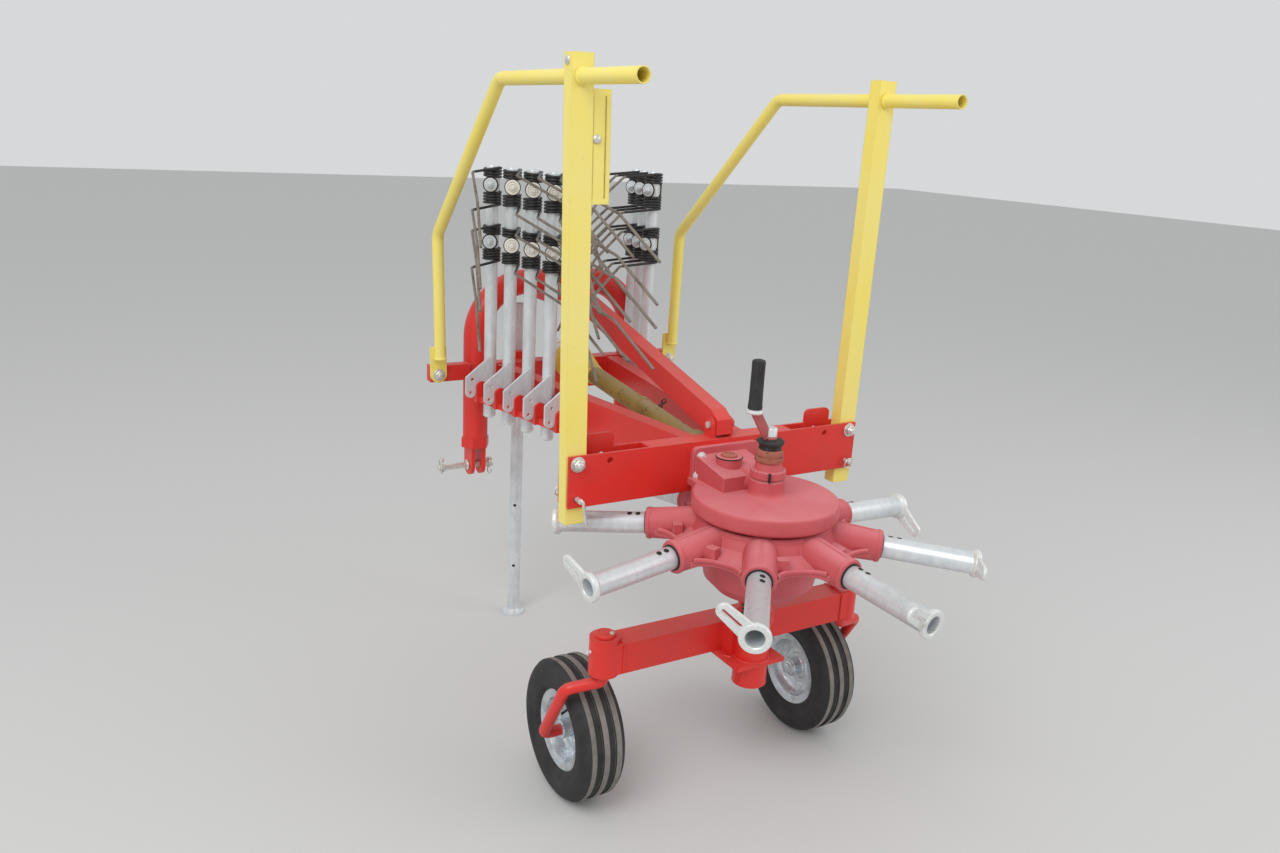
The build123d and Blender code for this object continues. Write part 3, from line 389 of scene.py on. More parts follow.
# Doubles merged and faces turned outwards, back in object mode
def closeUp(piece):
    bpy.ops.mesh.select_all(action="SELECT")
    bpy.ops.mesh.remove_doubles(threshold=joinDistance)
    bpy.ops.mesh.normals_make_consistent(inside=False)
    bpy.ops.object.mode_set(mode="OBJECT")
    return piece


# A piece turned on the Z axis: a circle drawn out and resized along (radius, height) pairs
def turned(name, profile, count=24, hollow=False):
    clearSelection()
    radius, height = profile[0]
    fill = "NOTHING" if hollow else "NGON"
    bpy.ops.mesh.primitive_circle_add(vertices=count, radius=radius / 1000, fill_type=fill,
                                      location=(0, 0, height / 1000))
    piece = bpy.context.object
    piece.name = name
    settle(piece)
    bpy.ops.object.mode_set(mode="EDIT")
    bpy.ops.mesh.select_all(action="SELECT")
    for nextRadius, nextHeight in profile[1:]:
        rise = (0, 0, (nextHeight - height) / 1000)
        bpy.ops.mesh.extrude_region_move(TRANSFORM_OT_translate={"value": rise})
        share = nextRadius / radius
        bpy.ops.transform.resize(value=(share, share, 1), center_override=(0, 0, nextHeight / 1000))
        radius, height = nextRadius, nextHeight
    return closeUp(piece)


# A line drawn point by point from a single vertex, left in edit mode
def drawLine(name, points):
    clearSelection()
    bpy.ops.mesh.primitive_plane_add(size=0.001, location=points[0])
    piece = bpy.context.object
    piece.name = name
    settle(piece)
    bpy.ops.object.mode_set(mode="EDIT")
    bpy.ops.mesh.select_all(action="SELECT")
    bpy.ops.mesh.merge(type="CENTER")
    for here, there in zip(points, points[1:]):
        bpy.ops.mesh.extrude_region_move(TRANSFORM_OT_translate={"value": there - here})
    return piece


# A round wire or bar along points in metres
def wire(name, points, radius, rounds=2, closed=False):
    piece = drawLine(name, points + points[:1] if closed else points)
    if closed:
        bpy.ops.mesh.select_all(action="SELECT")
        bpy.ops.mesh.remove_doubles(threshold=joinDistance)
    bpy.ops.object.mode_set(mode="OBJECT")
    bpy.ops.object.convert(target="CURVE")
    line = bpy.context.object.data
    line.bevel_depth = radius / 1000
    line.bevel_resolution = rounds
    line.use_fill_caps = True
    bpy.ops.object.convert(target="MESH")
    return bpy.context.object


# A flat plate: its outline filled and drawn out by a vector
def plate(name, corners, depth):
    piece = drawLine(name, corners + corners[:1])
    bpy.ops.mesh.select_all(action="SELECT")
    bpy.ops.mesh.remove_doubles(threshold=joinDistance)
    bpy.ops.mesh.edge_face_add()
    bpy.ops.mesh.extrude_region_move(TRANSFORM_OT_translate={"value": depth})
    return closeUp(piece)


# Corners of a line rounded, each with the same radius in millimetres
def bent(corners, radius, steps=5):
    line = [corners[0]]
    for before, corner, after in zip(corners, corners[1:], corners[2:]):
        back = before - corner
        ahead = after - corner
        half = back.angle(ahead) / 2
        reach = min(radius / 1000 / math.tan(half), 0.48 * back.length, 0.48 * ahead.length)
        size = reach * math.tan(half)
        centre = corner + (back.normalized() + ahead.normalized()).normalized() * (size / math.sin(half))
        first = (corner + back.normalized() * reach - centre).normalized()
        last = (corner + ahead.normalized() * reach - centre).normalized()
        line += [centre + first.slerp(last, i / steps) * size for i in range(steps + 1)]
    return line + [corners[-1]]


# A piece made on the Z axis goes to its place, its axis along a direction
def lay(piece, place, along=(0, 0, 1), roll=0):
    turn = Vector(along).to_track_quat("Z", "Y").to_matrix().to_4x4()
    piece.matrix_world = Matrix.Translation(place) @ turn @ Matrix.Rotation(math.radians(roll), 4, "Z")
    return settle(piece)


# A turned piece at its place
def spun(name, profile, count, place, along=(0, 0, 1), roll=0):
    return lay(turned(name, profile, count), spot(*place), along, roll)


def copied(piece, name):
    only(piece)
    bpy.ops.object.duplicate()
    bpy.context.object.name = name
    return bpy.context.object


def softened(piece, width, segments=2, angle=35):
    only(piece)
    bpy.ops.object.modifier_add(type="BEVEL")
    bevel = piece.modifiers[-1]
    bevel.width = width / 1000
    bevel.segments = segments
    bevel.limit_method = "ANGLE"
    bevel.angle_limit = math.radians(angle)
    bpy.ops.object.modifier_apply(modifier=bevel.name)
    return piece


def dressed(piece, material):
    piece.data.materials.clear()
    piece.data.materials.append(material)
    return piece


# Faces picked by their place get a second material
def faced(piece, material, test):
    only(piece)
    piece.data.materials.append(material)
    bpy.context.tool_settings.mesh_select_mode = (False, False, True)
    for face in piece.data.polygons:
        face.select = test(face.center)
    piece.active_material_index = len(piece.data.materials) - 1
    bpy.ops.object.mode_set(mode="EDIT")
    bpy.ops.object.material_slot_assign()
    bpy.ops.object.mode_set(mode="OBJECT")
    bpy.context.tool_settings.mesh_select_mode = (True, False, False)
    return piece


def joined(name, parts):
    clearSelection()
    for part in parts:
        part.select_set(True)
    bpy.context.view_layer.objects.active = parts[0]
    bpy.ops.object.join()
    parts[0].name = name
    return parts[0]


def kept(piece, body, angle=38):
    only(piece)
    bpy.ops.object.shade_smooth_by_angle(angle=math.radians(angle))
    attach(piece, body)
    return piece


def discard(piece):
    bpy.data.objects.remove(piece)


# Stored tine arms: spring tines, their bolts and clips, the arms' ends

tineShape = {
    "wire": 4.5, "coilRadius": 27, "coilFrom": 23.5, "halves": ((1, 3.25, 54.5), (-1, 4.25, 64.5)),
    "stepsPerTurn": 18, "level": 122, "fall": 6, "swing": 48, "kneeRound": 15, "legs": ((17, 250), (36, 200)),
    "wornFrom": 0.112,
}
tineHeights = (1667, 1482)
# Each arm's rack side, place along the machine, way the fingers leave and way the bolt faces
storedArms = (
    (-1, 1200, 204, 236), (-1, 1093, 240, 248), (-1, 986, 240, 248), (-1, 880, 240, 248),
    (-1, 773, 211, 240), (1, 1235, 172, 206), (1, 1160, 172, 206), (1, 1085, 172, 206),
)
armRow = {-1: (298, 0.22), 1: (270, 0.1414)}  # distance from the middle at the front, slope along the row


def armSpot(side, y, z):
    front, slope = armRow[side]
    return spot(side * (front - slope * (1200 - y)), y, z)


# Both halves of one double tine, wound round the Z axis, as a single line from tip to tip
def tineLine():
    halves = []
    for end, turns, coilTo in tineShape["halves"]:
        steps = int(turns * tineShape["stepsPerTurn"])
        line = []
        for i in range(steps + 1):
            turn = math.radians(90 + 360 * turns * (1 - i / steps))
            height = end * (tineShape["coilFrom"] + (coilTo - tineShape["coilFrom"]) * i / steps)
            reach = tineShape["coilRadius"]
            line.append(Vector((reach * math.cos(turn), reach * math.sin(turn), height)) / 1000)
        fall = math.tan(math.radians(tineShape["fall"]))
        corners = [line[-1], line[-1] + Vector((1, 0, -fall)) * tineShape["level"] / 1000]
        swing = math.radians(tineShape["swing"])
        for below, length in tineShape["legs"]:
            flat = math.cos(math.radians(below)) * length
            drop = math.sin(math.radians(below)) * length
            leg = Vector((math.cos(swing) * flat, math.sin(swing) * flat, -drop)) / 1000
            corners.append(corners[-1] + leg)
        halves.append(line[:-1] + bent(corners, tineShape["kneeRound"]))
    return halves[0][::-1] + halves[1]


# A copy at a height on a stored arm, turned about the arm
def onArm(model, side, y, z, turn):
    piece = copied(model, "onArm")
    piece.matrix_world = Matrix.Translation(armSpot(side, y, z)) @ Matrix.Rotation(math.radians(turn), 4, "Z")
    return settle(piece)


def addSpringTines():
    model = dressed(wire("tineModel", tineLine(), tineShape["wire"]), coilBlack)
    faced(model, wornWire, lambda place: math.hypot(place.x, place.y) > tineShape["wornFrom"])
    for side, word in sides:
        tines = [onArm(model, side, y, z, leaving) for armSide, y, leaving, facing in storedArms
                 if armSide == side for z in tineHeights]
        piece = kept(joined("springTines" + word.title(), tines), "frame", 60)
        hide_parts("spring_tines_" + word)
    discard(model)


boltShape = {
    "washer": ((12, 0), (20.5, 0), (22, 1), (22, 3), (20.8, 4.2), (13.5, 4.6)),
    "nut": ((12.6, 4), (13, 5), (13, 15), (11.2, 17), (8.6, 17)),
    "end": ((7.2, 16.5), (7.4, 18), (6.8, 19), (7.4, 20), (6.8, 21), (5.6, 22.5)),
    "disc": ((12, 0), (22, 0), (23.6, 1), (23.6, 3.4), (22.6, 4.6), (18.4, 5), (17.6, 4.2), (17.4, 1.6),
             (14, 1.4)),
    "dome": ((14.2, 1), (14.4, 5), (13.2, 7), (10.6, 7.6), (10, 5.2), (8, 5.2), (7.6, 9), (6.4, 10.2),
             (2, 10.4)),
    # shade: a dark ring behind each washer, painted shade round the bolt's edge
    "shade": ((23, -1.5), (26, -1.5), (26.4, -0.6), (26, 0.4), (23, 0.4)),
    "reach": 32, "roundBefore": 1150, "turn": 11,
    "blockFront": 32, "blockRear": 35, "blockWide": 16, "blockHigh": 17, "blockSoft": 1.5,
}


def addTineBolts():
    washer = turned("washer", boltShape["washer"], 28)
    nut = softened(turned("nut", boltShape["nut"], 6), 0.6)
    hexBolt = dressed(joined("hexBolt", [washer, nut, turned("end", boltShape["end"], 16)]), galvanised)
    roundBolt = dressed(joined("roundBolt", [turned("disc", boltShape["disc"], 32),
                                             turned("dome", boltShape["dome"], 28)]), creamPlastic)
    # A dark ring behind every bolt: painted shade round its edge
    shade = dressed(turned("shade", boltShape["shade"], 32), blackAndPaintedShade)
    hexBolt = joined("hexBolt", [hexBolt, copied(shade, "shade")])
    roundBolt = joined("roundBolt", [roundBolt, shade])
    wide = boltShape["blockWide"]
    front = boltShape["blockFront"]
    rear = -boltShape["blockRear"]
    corners = ((rear, -wide * 0.5), (rear * 0.85, -wide), (front - 3, -wide), (front, -wide + 3),
               (front, wide - 3), (front - 3, wide), (rear * 0.85, wide), (rear, wide * 0.5))
    high = boltShape["blockHigh"] / 1000
    block = plate("clip", [Vector((x / 1000, y / 1000, -high)) for x, y in corners], Vector((0, 0, 2 * high)))
    dressed(softened(block, boltShape["blockSoft"]), ivoryPlastic)
    parts = []
    for side, y, leaving, facing in storedArms:
        way = Vector((math.cos(math.radians(facing)), math.sin(math.radians(facing)), 0))
        model = roundBolt if side < 0 and y < boltShape["roundBefore"] else hexBolt
        for z in tineHeights:
            place = armSpot(side, y, z) + way * boltShape["reach"] / 1000
            parts.append(lay(copied(model, "bolt"), place, way, boltShape["turn"] + y))
            parts.append(onArm(block, side, y, z, facing))
    kept(joined("tineBolts", parts), "frame", 40)
    for model in (hexBolt, roundBolt, block):
        discard(model)


armLow = 880
armTopShape = ((20.6, -3), (21.4, 0), (21.4, 13), (20.4, 15.5), (16, 16.6), (8, 17))
armEndShape = ((20, 3), (21.6, 2), (21.8, -2), (20.5, -6), (17, -10), (11, -12.5), (4, -13.5))


def addArmEnds():
    model = dressed(turned("armEnd", armEndShape, 28), paleZinc)
    ends = [lay(copied(model, "end"), armSpot(side, y, armLow)) for side, y, leaving, facing in storedArms]
    top = dressed(turned("armTop", armTopShape, 28), galvanised)
    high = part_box("tine_arms_left")[1][2] * 1000
    ends += [lay(copied(top, "top"), armSpot(side, y, high)) for side, y, leaving, facing in storedArms]
    kept(joined("armEnds", ends), "frame", 50)
    discard(top)
    discard(model)


addSpringTines()
addTineBolts()
addArmEnds()
print("spring tines wound")


# Wheels and casters

wheelShape = {
    "x": 418, "y": 257, "z": 205, "treadFrom": 202.5, "ribs": ((0, 8), (31.5, 46.5)),
    "tyreHalf": (
        (116.5, 48), (121, 55), (128, 60), (135, 63), (139, 62.5), (148, 66), (160, 69), (172, 69),
        (183, 66.5), (191, 61.5), (197, 56), (201, 50), (202.6, 47), (203.8, 46), (204, 33), (202.8, 31),
        (197, 29.5), (198, 20), (197.5, 10), (203.6, 8.5), (205, 7), (205, 3),
    ),
    "rim": (
        (15.5, -46), (25, -46), (28, -43), (28, -16), (31, -13), (40, -12), (44, -8), (58, -8), (62, -12),
        (76, -14), (84, -20), (90, -33), (93, -43), (98, -46), (110, -47), (115, -50), (118, -49), (117, -46),
        (111, -44), (107, -38), (105, -20), (105, 20), (107, 38), (111, 44), (117, 46), (118, 49), (115, 50),
        (110, 47), (98, 46), (93, 43), (89, 30), (85, 8), (78, 0), (62, -2), (58, 2), (44, 2), (40, -3),
        (31, -4), (28, 0), (28, 43), (25, 46), (15.5, 46), (15.5, -46),
    ),
    "cap": ((23, 0), (24, 2), (22.5, 4.5), (17, 5), (16, 6), (15.5, 11), (13, 13), (6, 13.5)), "capIn": 45.5,
    "valve": ((5, 0), (5, 12), (3.5, 14), (3.2, 26), (4, 26.5), (4, 33), (2.5, 34)),
    "valvePlace": (30, -36, 88), "valveWay": (0.8, 0.25, -0.6),
}


def addWheel(side, word):
    place = spot(side * wheelShape["x"], wheelShape["y"], wheelShape["z"])
    body = "wheel_" + word
    half = list(wheelShape["tyreHalf"])
    profile = half + [(radius, -height) for radius, height in reversed(half)] + half[:1]
    tyre = dressed(turned("tyre" + word.title(), profile, 84, True), tyreRubber)
    faced(tyre, dustyRubber, lambda centre: math.hypot(centre.x, centre.y) * 1000 > wheelShape["treadFrom"]
          and any(low < abs(centre.z) * 1000 < high for low, high in wheelShape["ribs"]))
    kept(lay(tyre, place, (side, 0, 0)), body, 32)
    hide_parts("tyre_" + word)
    rim = dressed(turned("rim" + word.title(), wheelShape["rim"], 64, True), rimSilver)
    kept(lay(rim, place, (side, 0, 0)), body, 30)
    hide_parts("rim_" + word)
    cap = dressed(turned("hubCap" + word.title(), wheelShape["cap"], 32), rimSilver)
    inside = place - Vector((side * wheelShape["capIn"] / 1000, 0, 0))
    kept(lay(cap, inside, (-side, 0, 0)), body, 40)
    stem = dressed(turned("valve" + word.title(), wheelShape["valve"], 14), blackAndPaintedShade)
    x, y, z = wheelShape["valvePlace"]
    wayX, wayY, wayZ = wheelShape["valveWay"]
    kept(lay(stem, place + Vector((side * x, y, z)) / 1000, (side * wayX, wayY, wayZ)), body, 40)


# Points of the bar run down from the swivel tube, outwards, and in along the stub axle
casterShape = {
    "bar": 16.5, "bend": 27,
    "line": ((418, 102, 459), (418, 102, 430), (516.5, 132, 414), (516.5, 257, 205), (388, 257, 205)),
    "pin": ((14, 0), (15, 1), (15, 119), (14, 120)), "pinPlace": (418, 102, 455),
    "collar": ((17, 0), (21, 0), (22, 2), (22, 8), (20, 10), (16, 10)), "collarPlace": (418, 102, 446.5),
    "cap": (
        (26, 0.3), (28, 2), (28, 8), (26, 10.5), (20, 11.5), (19, 10.5), (16.5, 10.5), (16, 12), (5, 12.5),
    ),
    "capPlace": (418, 102, 566),
    "screw": ((6.5, 0), (7, 1), (7, 5), (6, 6), (3.4, 6), (3.2, 3)), "screwPlace": (406, 85, 577),
    "nipple": ((5, 0), (5, 4), (3, 5), (3, 9), (4.2, 10.5), (3.8, 13), (1.5, 14)),
    "nipplePlace": (459.5, 102, 528), "nippleWay": (-0.2, 0.15),
}


def addCaster(side, word):
    def turnedPart(name, count, along=(0, 0, 1)):
        x, y, z = casterShape[name + "Place"]
        return spun(name, casterShape[name], count, (side * x, y, z), along)

    pin = turnedPart("pin", 32)
    line = bent([spot(side * x, y, z) for x, y, z in casterShape["line"]], casterShape["bend"], 8)
    bar = wire("bar", line, casterShape["bar"], 6)
    parts = [bar, pin, turnedPart("collar", 32), turnedPart("cap", 36)]
    caster = kept(dressed(joined("casterBar" + word.title(), parts), redPaint), "caster_" + word,
                  40)
    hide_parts("caster_" + word)
    screw = dressed(turnedPart("screw", 6), zincPlate)
    screw.name = "swivelScrew" + word.title()
    kept(screw, "caster_" + word, 30)
    nipple = dressed(turnedPart("nipple", 12, (side, *casterShape["nippleWay"])), paleZinc)
    nipple.name = "greaseNipple" + word.title()
    kept(nipple, "frame", 40)


for side, word in sides:
    addWheel(side, word)
    addCaster(side, word)
print("wheels and casters modelled")


# Rotor: lips and webs of the hub, rings and slots of the stub tubes

stubLine = {"phase": 6.7, "apart": 45, "slope": 5, "tip": 569, "tipHeight": 808}
stubs = range(8)


def stubSpot(k, radius):
    turn = math.radians(stubLine["phase"] + stubLine["apart"] * k)
    height = stubLine["tipHeight"] + (stubLine["tip"] - radius) * math.tan(math.radians(stubLine["slope"]))
    return spot(radius * math.cos(turn), radius * math.sin(turn), height)


def stubWay(k):
    return (stubSpot(k, 500) - stubSpot(k, 400)).normalized()


hubShape = {
    "lip": ((31, -1), (38, 0.5), (42.5, -1.5), (44.5, -6), (44, -12), (41, -15)),
    "seal": ((30.2, 3), (33, 3), (34.5, 0.5), (33, -2)),
    "place": 317, "webPlace": 318, "webRadius": 79, "webSpread": 58, "webBar": 6.5, "webHeight": 824,
    "webRise": 6, "webSteps": 12,
    "drumBead": ((170, 884), (176, 885.5), (181, 882), (184.5, 876), (183, 868)),
}


# A turned part on each stub, at the mouth of its socket
def onStubs(name, profile, count):
    return [lay(turned(name, profile, count), stubSpot(k, hubShape["place"]), stubWay(k)) for k in stubs]


def addHubDetails():
    parts = onStubs("lip", hubShape["lip"], 36)
    half = hubShape["webSteps"] / 2
    for k in stubs:
        middle = math.radians(stubLine["phase"] + stubLine["apart"] * (k + 0.5))
        centre = Vector((math.cos(middle), math.sin(middle), 0)) * hubShape["webPlace"]
        arc = []
        for i in range(hubShape["webSteps"] + 1):
            share = i / half - 1
            turn = middle + math.pi + math.radians(hubShape["webSpread"] * share)
            place = centre + Vector((math.cos(turn), math.sin(turn), 0)) * hubShape["webRadius"]
            arc.append(spot(place.x, place.y, hubShape["webHeight"] + hubShape["webRise"] * abs(share)))
        parts.append(wire("web", arc, hubShape["webBar"], 3))
    parts.append(lay(turned("bead", hubShape["drumBead"], 72, True), spot(0, 0, 0)))
    kept(dressed(joined("hubEdges", parts), castingRed), "rotor", 45)
    seals = onStubs("seal", hubShape["seal"], 32)
    kept(dressed(joined("stubSeals", seals), blackAndPaintedShade), "rotor", 45)


stubShape = {
    "profile": ((29, -280), (30, -278), (30, -14), (32.5, -11), (36.5, -7.5), (38, -4), (38, 3.5),
                (36.5, 6.5), (33, 7.4), (25, 6.6), (22.6, 4), (22.4, -4), (22.4, -110)),
    "rolls": (213, 200, 185, 175, 160, 140, 150, 172),  # ear of each stub, counted from level
    "earFrom": (24, 24), "earEnd": 95, "earRound": 19, "earLow": -4.5, "earThick": 9.5,
    "earSweep": 82, "earSoft": 1.8, "slot": 71, "slotHalf": 26, "slotRound": 4.8, "worn": -14.5,
    "hole": ((7, -1.5), (7.3, 0.2), (6.7, 0.8)), "holes": (339, 362), "holeTurn": 14, "wall": 29.9,
}


# Matrix of stub k at a radius: Z along it, X turned by the roll from level
def stubTurn(k, radius, roll):
    way = stubWay(k)
    level = Vector((-way.y, way.x, 0)).normalized()
    up = way.cross(level)
    across = level * math.cos(math.radians(roll)) + up * math.sin(math.radians(roll))
    placed = Matrix((across, way.cross(across), way)).transposed().to_4x4()
    placed.translation = stubSpot(k, radius)
    return placed


# Points round an arc about a place on the X axis
def arcRound(x, radius, low, high, steps, z):
    turns = [math.radians(low + (high - low) * i / steps) for i in range(steps + 1)]
    return [Vector((x + radius * math.cos(turn), radius * math.sin(turn), z)) / 1000 for turn in turns]


def stubModel():
    low = stubShape["earLow"]
    deep = Vector((0, 0, stubShape["earThick"] / 1000))
    baseX, baseY = stubShape["earFrom"]
    sweep = stubShape["earSweep"]
    outline = arcRound(stubShape["earEnd"], stubShape["earRound"], -sweep, sweep, 14, low)
    outline = [Vector((baseX, -baseY, low)) / 1000] + outline + [Vector((baseX, baseY, low)) / 1000]
    ear = softened(plate("ear", outline, deep), stubShape["earSoft"], 3, 40)
    slot = stubShape["slot"]
    half = stubShape["slotHalf"]
    slotLine = arcRound(slot + half, stubShape["slotRound"], -90, 90, 8, low - 5)
    slotLine += arcRound(slot - half, stubShape["slotRound"], 90, 270, 8, low - 5)
    cutter = plate("cutter", slotLine, deep * 2.2)
    only(ear)
    cut = ear.modifiers.new("slot", "BOOLEAN")
    cut.operation = "DIFFERENCE"
    cut.object = cutter
    bpy.ops.object.modifier_apply(modifier=cut.name)
    discard(cutter)
    tube = turned("stub", stubShape["profile"], 48)
    model = dressed(joined("stub", [tube, ear]), galvanised)
    faced(model, paleZinc, lambda centre: centre.z * 1000 > stubShape["worn"])
    return model


def addStubs():
    model = stubModel()
    parts = []
    for k, roll in enumerate(stubShape["rolls"]):
        stub = copied(model, "stub")
        stub.matrix_world = stubTurn(k, stubLine["tip"], roll)
        parts.append(settle(stub))
    piece = kept(joined("stubTubes", parts), "rotor", 40)
    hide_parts("rotor_stubs")
    # Each hole is a dark disc laid on the tube's wall, no opening cut: painted shade
    hole = dressed(turned("hole", stubShape["hole"], 16), blackAndPaintedShade)
    holes = []
    for k in stubs:
        for radius in stubShape["holes"]:
            placed = stubTurn(k, radius, 90 - stubShape["holeTurn"])
            out = placed.col[0].xyz
            place = placed.translation + out * stubShape["wall"] / 1000
            holes.append(lay(copied(hole, "hole"), place, out))
    kept(joined("stubHoles", holes), "rotor", 40)
    discard(model)
    discard(hole)


# Thin ribs on top of the sockets, their outline in radius and height over the stub's line
ribShape = {"outline": ((186, 38), (186, 49), (236, 48), (300, 45), (300, 38)), "thick": 5, "soft": 1.2}


def addSocketRibs():
    parts = []
    for k in stubs:
        way = stubWay(k)
        across = Vector((-way.y, way.x, 0)).normalized() * ribShape["thick"] / 1000
        corners = [stubSpot(k, radius) + Vector((0, 0, height / 1000)) - across / 2
                   for radius, height in ribShape["outline"]]
        parts.append(softened(plate("rib", corners, across), ribShape["soft"], 2, 40))
    kept(dressed(joined("socketRibs", parts), castingRed), "rotor", 40)


addHubDetails()
addStubs()
addSocketRibs()
print("rotor detailed")


# Gearbox: lid, boss, flange bolts; spindle with its seal; crank and grip

gearShape = {
    "lidRadius": 199, "lidHalf": 119, "lidRear": 189, "lidLow": 897, "lidTop": 945, "lidSoft": 10,
    "foot": ((62, 0), (60, 2), (53, 5), (48.5, 11), (47.5, 20), (47.5, 46), (45, 48)),
    "ring": ((30, 0), (37, 0), (39.5, 3), (39, 12), (36.5, 14), (37.5, 16), (36.5, 27), (32, 33),
             (30, 34)),
    "seal": ((27, 0), (31, 4), (29, 9), (35, 17), (37.5, 22), (34, 26), (24, 27), (20, 30),
             (14, 31)),
    "nut": ((13, 0), (15, 1.5), (15, 22), (13.5, 24.5), (10.5, 24.5), (9.5, 18)),
    "boss": ((20, 0), (23, 1), (23, 7), (20, 9.5), (15, 9.5), (14, 7), (6, 7)),
    "bolt": ((11, 5), (11.2, 6), (11.2, 12), (9.8, 13.5), (6, 13.5)),
    "boltWasher": ((8, 0), (14, 0), (14.5, 1), (14, 4.5), (8, 5.5)),
    "bolts": ((-88, 1004), (-97, 950), (97, 950)), "flangeFace": 190, "footZ": 944, "ringZ": 1040,
    "sealZ": 1073, "sealTorn": 0.0022, "slit": ((-23, -42.5), (-28.5, -39)), "slitZ": (996, 1020),
    "slitDeep": (-4, -6, 0), "cover": (-40, 124), "coverRadius": 36.5, "coverZ": 1018, "seamBar": 1.8,
}


def addGearboxDetails():
    radius = gearShape["lidRadius"]
    half = gearShape["lidHalf"]
    first = math.asin(half / radius)
    outline = [(half, gearShape["lidRear"])]
    for i in range(49):
        turn = math.pi / 2 - first - (2 * math.pi - 2 * first) * i / 48
        outline.append((radius * math.cos(turn), radius * math.sin(turn)))
    outline.append((-half, gearShape["lidRear"]))
    low = gearShape["lidLow"]
    deep = Vector((0, 0, (gearShape["lidTop"] - low) / 1000))
    lid = plate("lid", [spot(x, y, low) for x, y in outline], deep)
    softened(lid, gearShape["lidSoft"], 4, 50)
    foot = spun("foot", gearShape["foot"], 48, (0, 0, gearShape["footZ"]))
    kept(dressed(joined("gearLid", [lid, foot]), castingRed), "frame", 40)
    collar = softened(turned("spindleRing", gearShape["ring"], 32), 0.8)
    kept(dressed(lay(collar, spot(0, 0, gearShape["ringZ"])), rustyCasting), "frame", 40)
    seal = turned("spindleSeal", gearShape["seal"], 28)
    only(seal)
    bpy.ops.object.mode_set(mode="EDIT")
    bpy.ops.mesh.select_all(action="SELECT")
    bpy.ops.transform.vertex_random(offset=gearShape["sealTorn"], uniform=0.6, seed=4)
    bpy.ops.object.mode_set(mode="OBJECT")
    kept(lay(dressed(seal, gripBlack), spot(0, 0, gearShape["sealZ"])), "frame", 50)
    # The clamp's slit is a thin dark plate on the boss, no cut: painted shade
    near, far = gearShape["slit"]
    low, high = gearShape["slitZ"]
    corners = [spot(*near, low), spot(*far, low), spot(*far, high), spot(*near, high)]
    slit = plate("clampSlit", corners, Vector(gearShape["slitDeep"]) / 1000)
    kept(dressed(slit, blackAndPaintedShade), "frame", 40)
    head = softened(turned("head", gearShape["bolt"], 6), 0.5)
    model = dressed(joined("flangeBolt", [head, turned("washer", gearShape["boltWasher"], 24)]), paleZinc)
    bolts = [lay(copied(model, "bolt"), spot(x, gearShape["flangeFace"], z), (0, -1, 0), z)
             for x, z in gearShape["bolts"]]
    kept(joined("gearboxBolts", bolts), "frame", 35)
    discard(model)
    x, y = gearShape["cover"]
    radius = gearShape["coverRadius"]
    turns = [i * math.pi / 18 for i in range(36)]
    line = [spot(x + radius * math.cos(turn), y + radius * math.sin(turn), gearShape["coverZ"] + 1)
            for turn in turns]
    seam = wire("coverSeam", line, gearShape["seamBar"], 1, True)
    boss = spun("coverBoss", gearShape["boss"], 32, (x, y, gearShape["coverZ"]))
    kept(dressed(boss, rustyCasting), "frame", 40)
    kept(dressed(seam, blackAndPaintedShade), "frame", 60)


crankShape = {
    "reach": -62, "top": 1186, "eye": 1100, "wide": 27, "thick": 9, "nearAxis": -10, "footUp": 4, "soft": 1.6,
    "stud": ((9, 0), (9, 24), (8, 25)), "studDown": 12, "ringZ": 1176, "gripZ": 1188,
    "boss": ((16, -14), (17, -12), (17, 9), (15.5, 10), (8, 10)),
    "ring": ((13, 0), (20, 1), (23, 5), (22, 11), (16, 14), (11, 14)),
    "grip": ((16, 0), (19, 2), (19.5, 8), (18.5, 14), (17.8, 40), (17.5, 110), (18, 124),
             (16.5, 130), (11, 132), (9, 130.5), (4, 130)),
    "flutes": 12, "fluteDepth": 0.90, "fluteFrom": 12, "fluteTo": 125,
}


def addCrank():
    reach = crankShape["reach"]
    eye = crankShape["eye"]
    top = spot(reach, 0, crankShape["top"])
    foot = spot(crankShape["nearAxis"], 0, eye + crankShape["footUp"])
    way = (foot - top).normalized()
    side = Vector((-way.z, 0, way.x)) * crankShape["wide"] / 2000
    thick = Vector((0, crankShape["thick"] / 1000, 0))
    end = top - way * 0.006
    corners = [top - side, end - side * 0.6, end + side * 0.6, top + side, foot + side, foot - side]
    bar = softened(plate("bar", [corner - thick / 2 for corner in corners], thick), crankShape["soft"])
    boss = lay(softened(turned("eye", crankShape["boss"], 32), 0.8), spot(0, 0, eye - 2))
    stud = spun("stud", crankShape["stud"], 20, (reach, 0, crankShape["top"] - crankShape["studDown"]))
    bar = kept(dressed(joined("crankBar", [bar, boss, stud]), dustyRed), "frame", 40)
    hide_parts("height_crank")
    nut = spun("nut", gearShape["nut"], 28, (0, 0, eye + 8))
    worn = spun("worn", crankShape["ring"], 28, (reach, 0, crankShape["ringZ"]))
    kept(dressed(joined("crankRings", [nut, worn]), paleZinc), "frame", 40)
    count = crankShape["flutes"] * 4
    grip = turned("gripFluted", crankShape["grip"], count)
    for vertex in grip.data.vertices:
        part = round(math.atan2(vertex.co.y, vertex.co.x) / (2 * math.pi) * count) % 4
        vertex.select = part == 0 and crankShape["fluteFrom"] < vertex.co.z * 1000 < crankShape["fluteTo"]
    only(grip)
    bpy.context.tool_settings.mesh_select_mode = (True, False, False)
    for face in grip.data.polygons:
        face.select = False
    for edge in grip.data.edges:
        edge.select = False
    bpy.ops.object.mode_set(mode="EDIT")
    depth = crankShape["fluteDepth"]
    bpy.ops.transform.resize(value=(depth, depth, 1), center_override=(0, 0, 0))
    bpy.ops.object.mode_set(mode="OBJECT")
    kept(dressed(lay(grip, spot(reach, 0, crankShape["gripZ"])), gripBlack), "frame", 28)
    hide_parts("crank_grip")


addGearboxDetails()
addCrank()
print("gearbox and crank detailed")


# Bolts, pins and chains of the frame

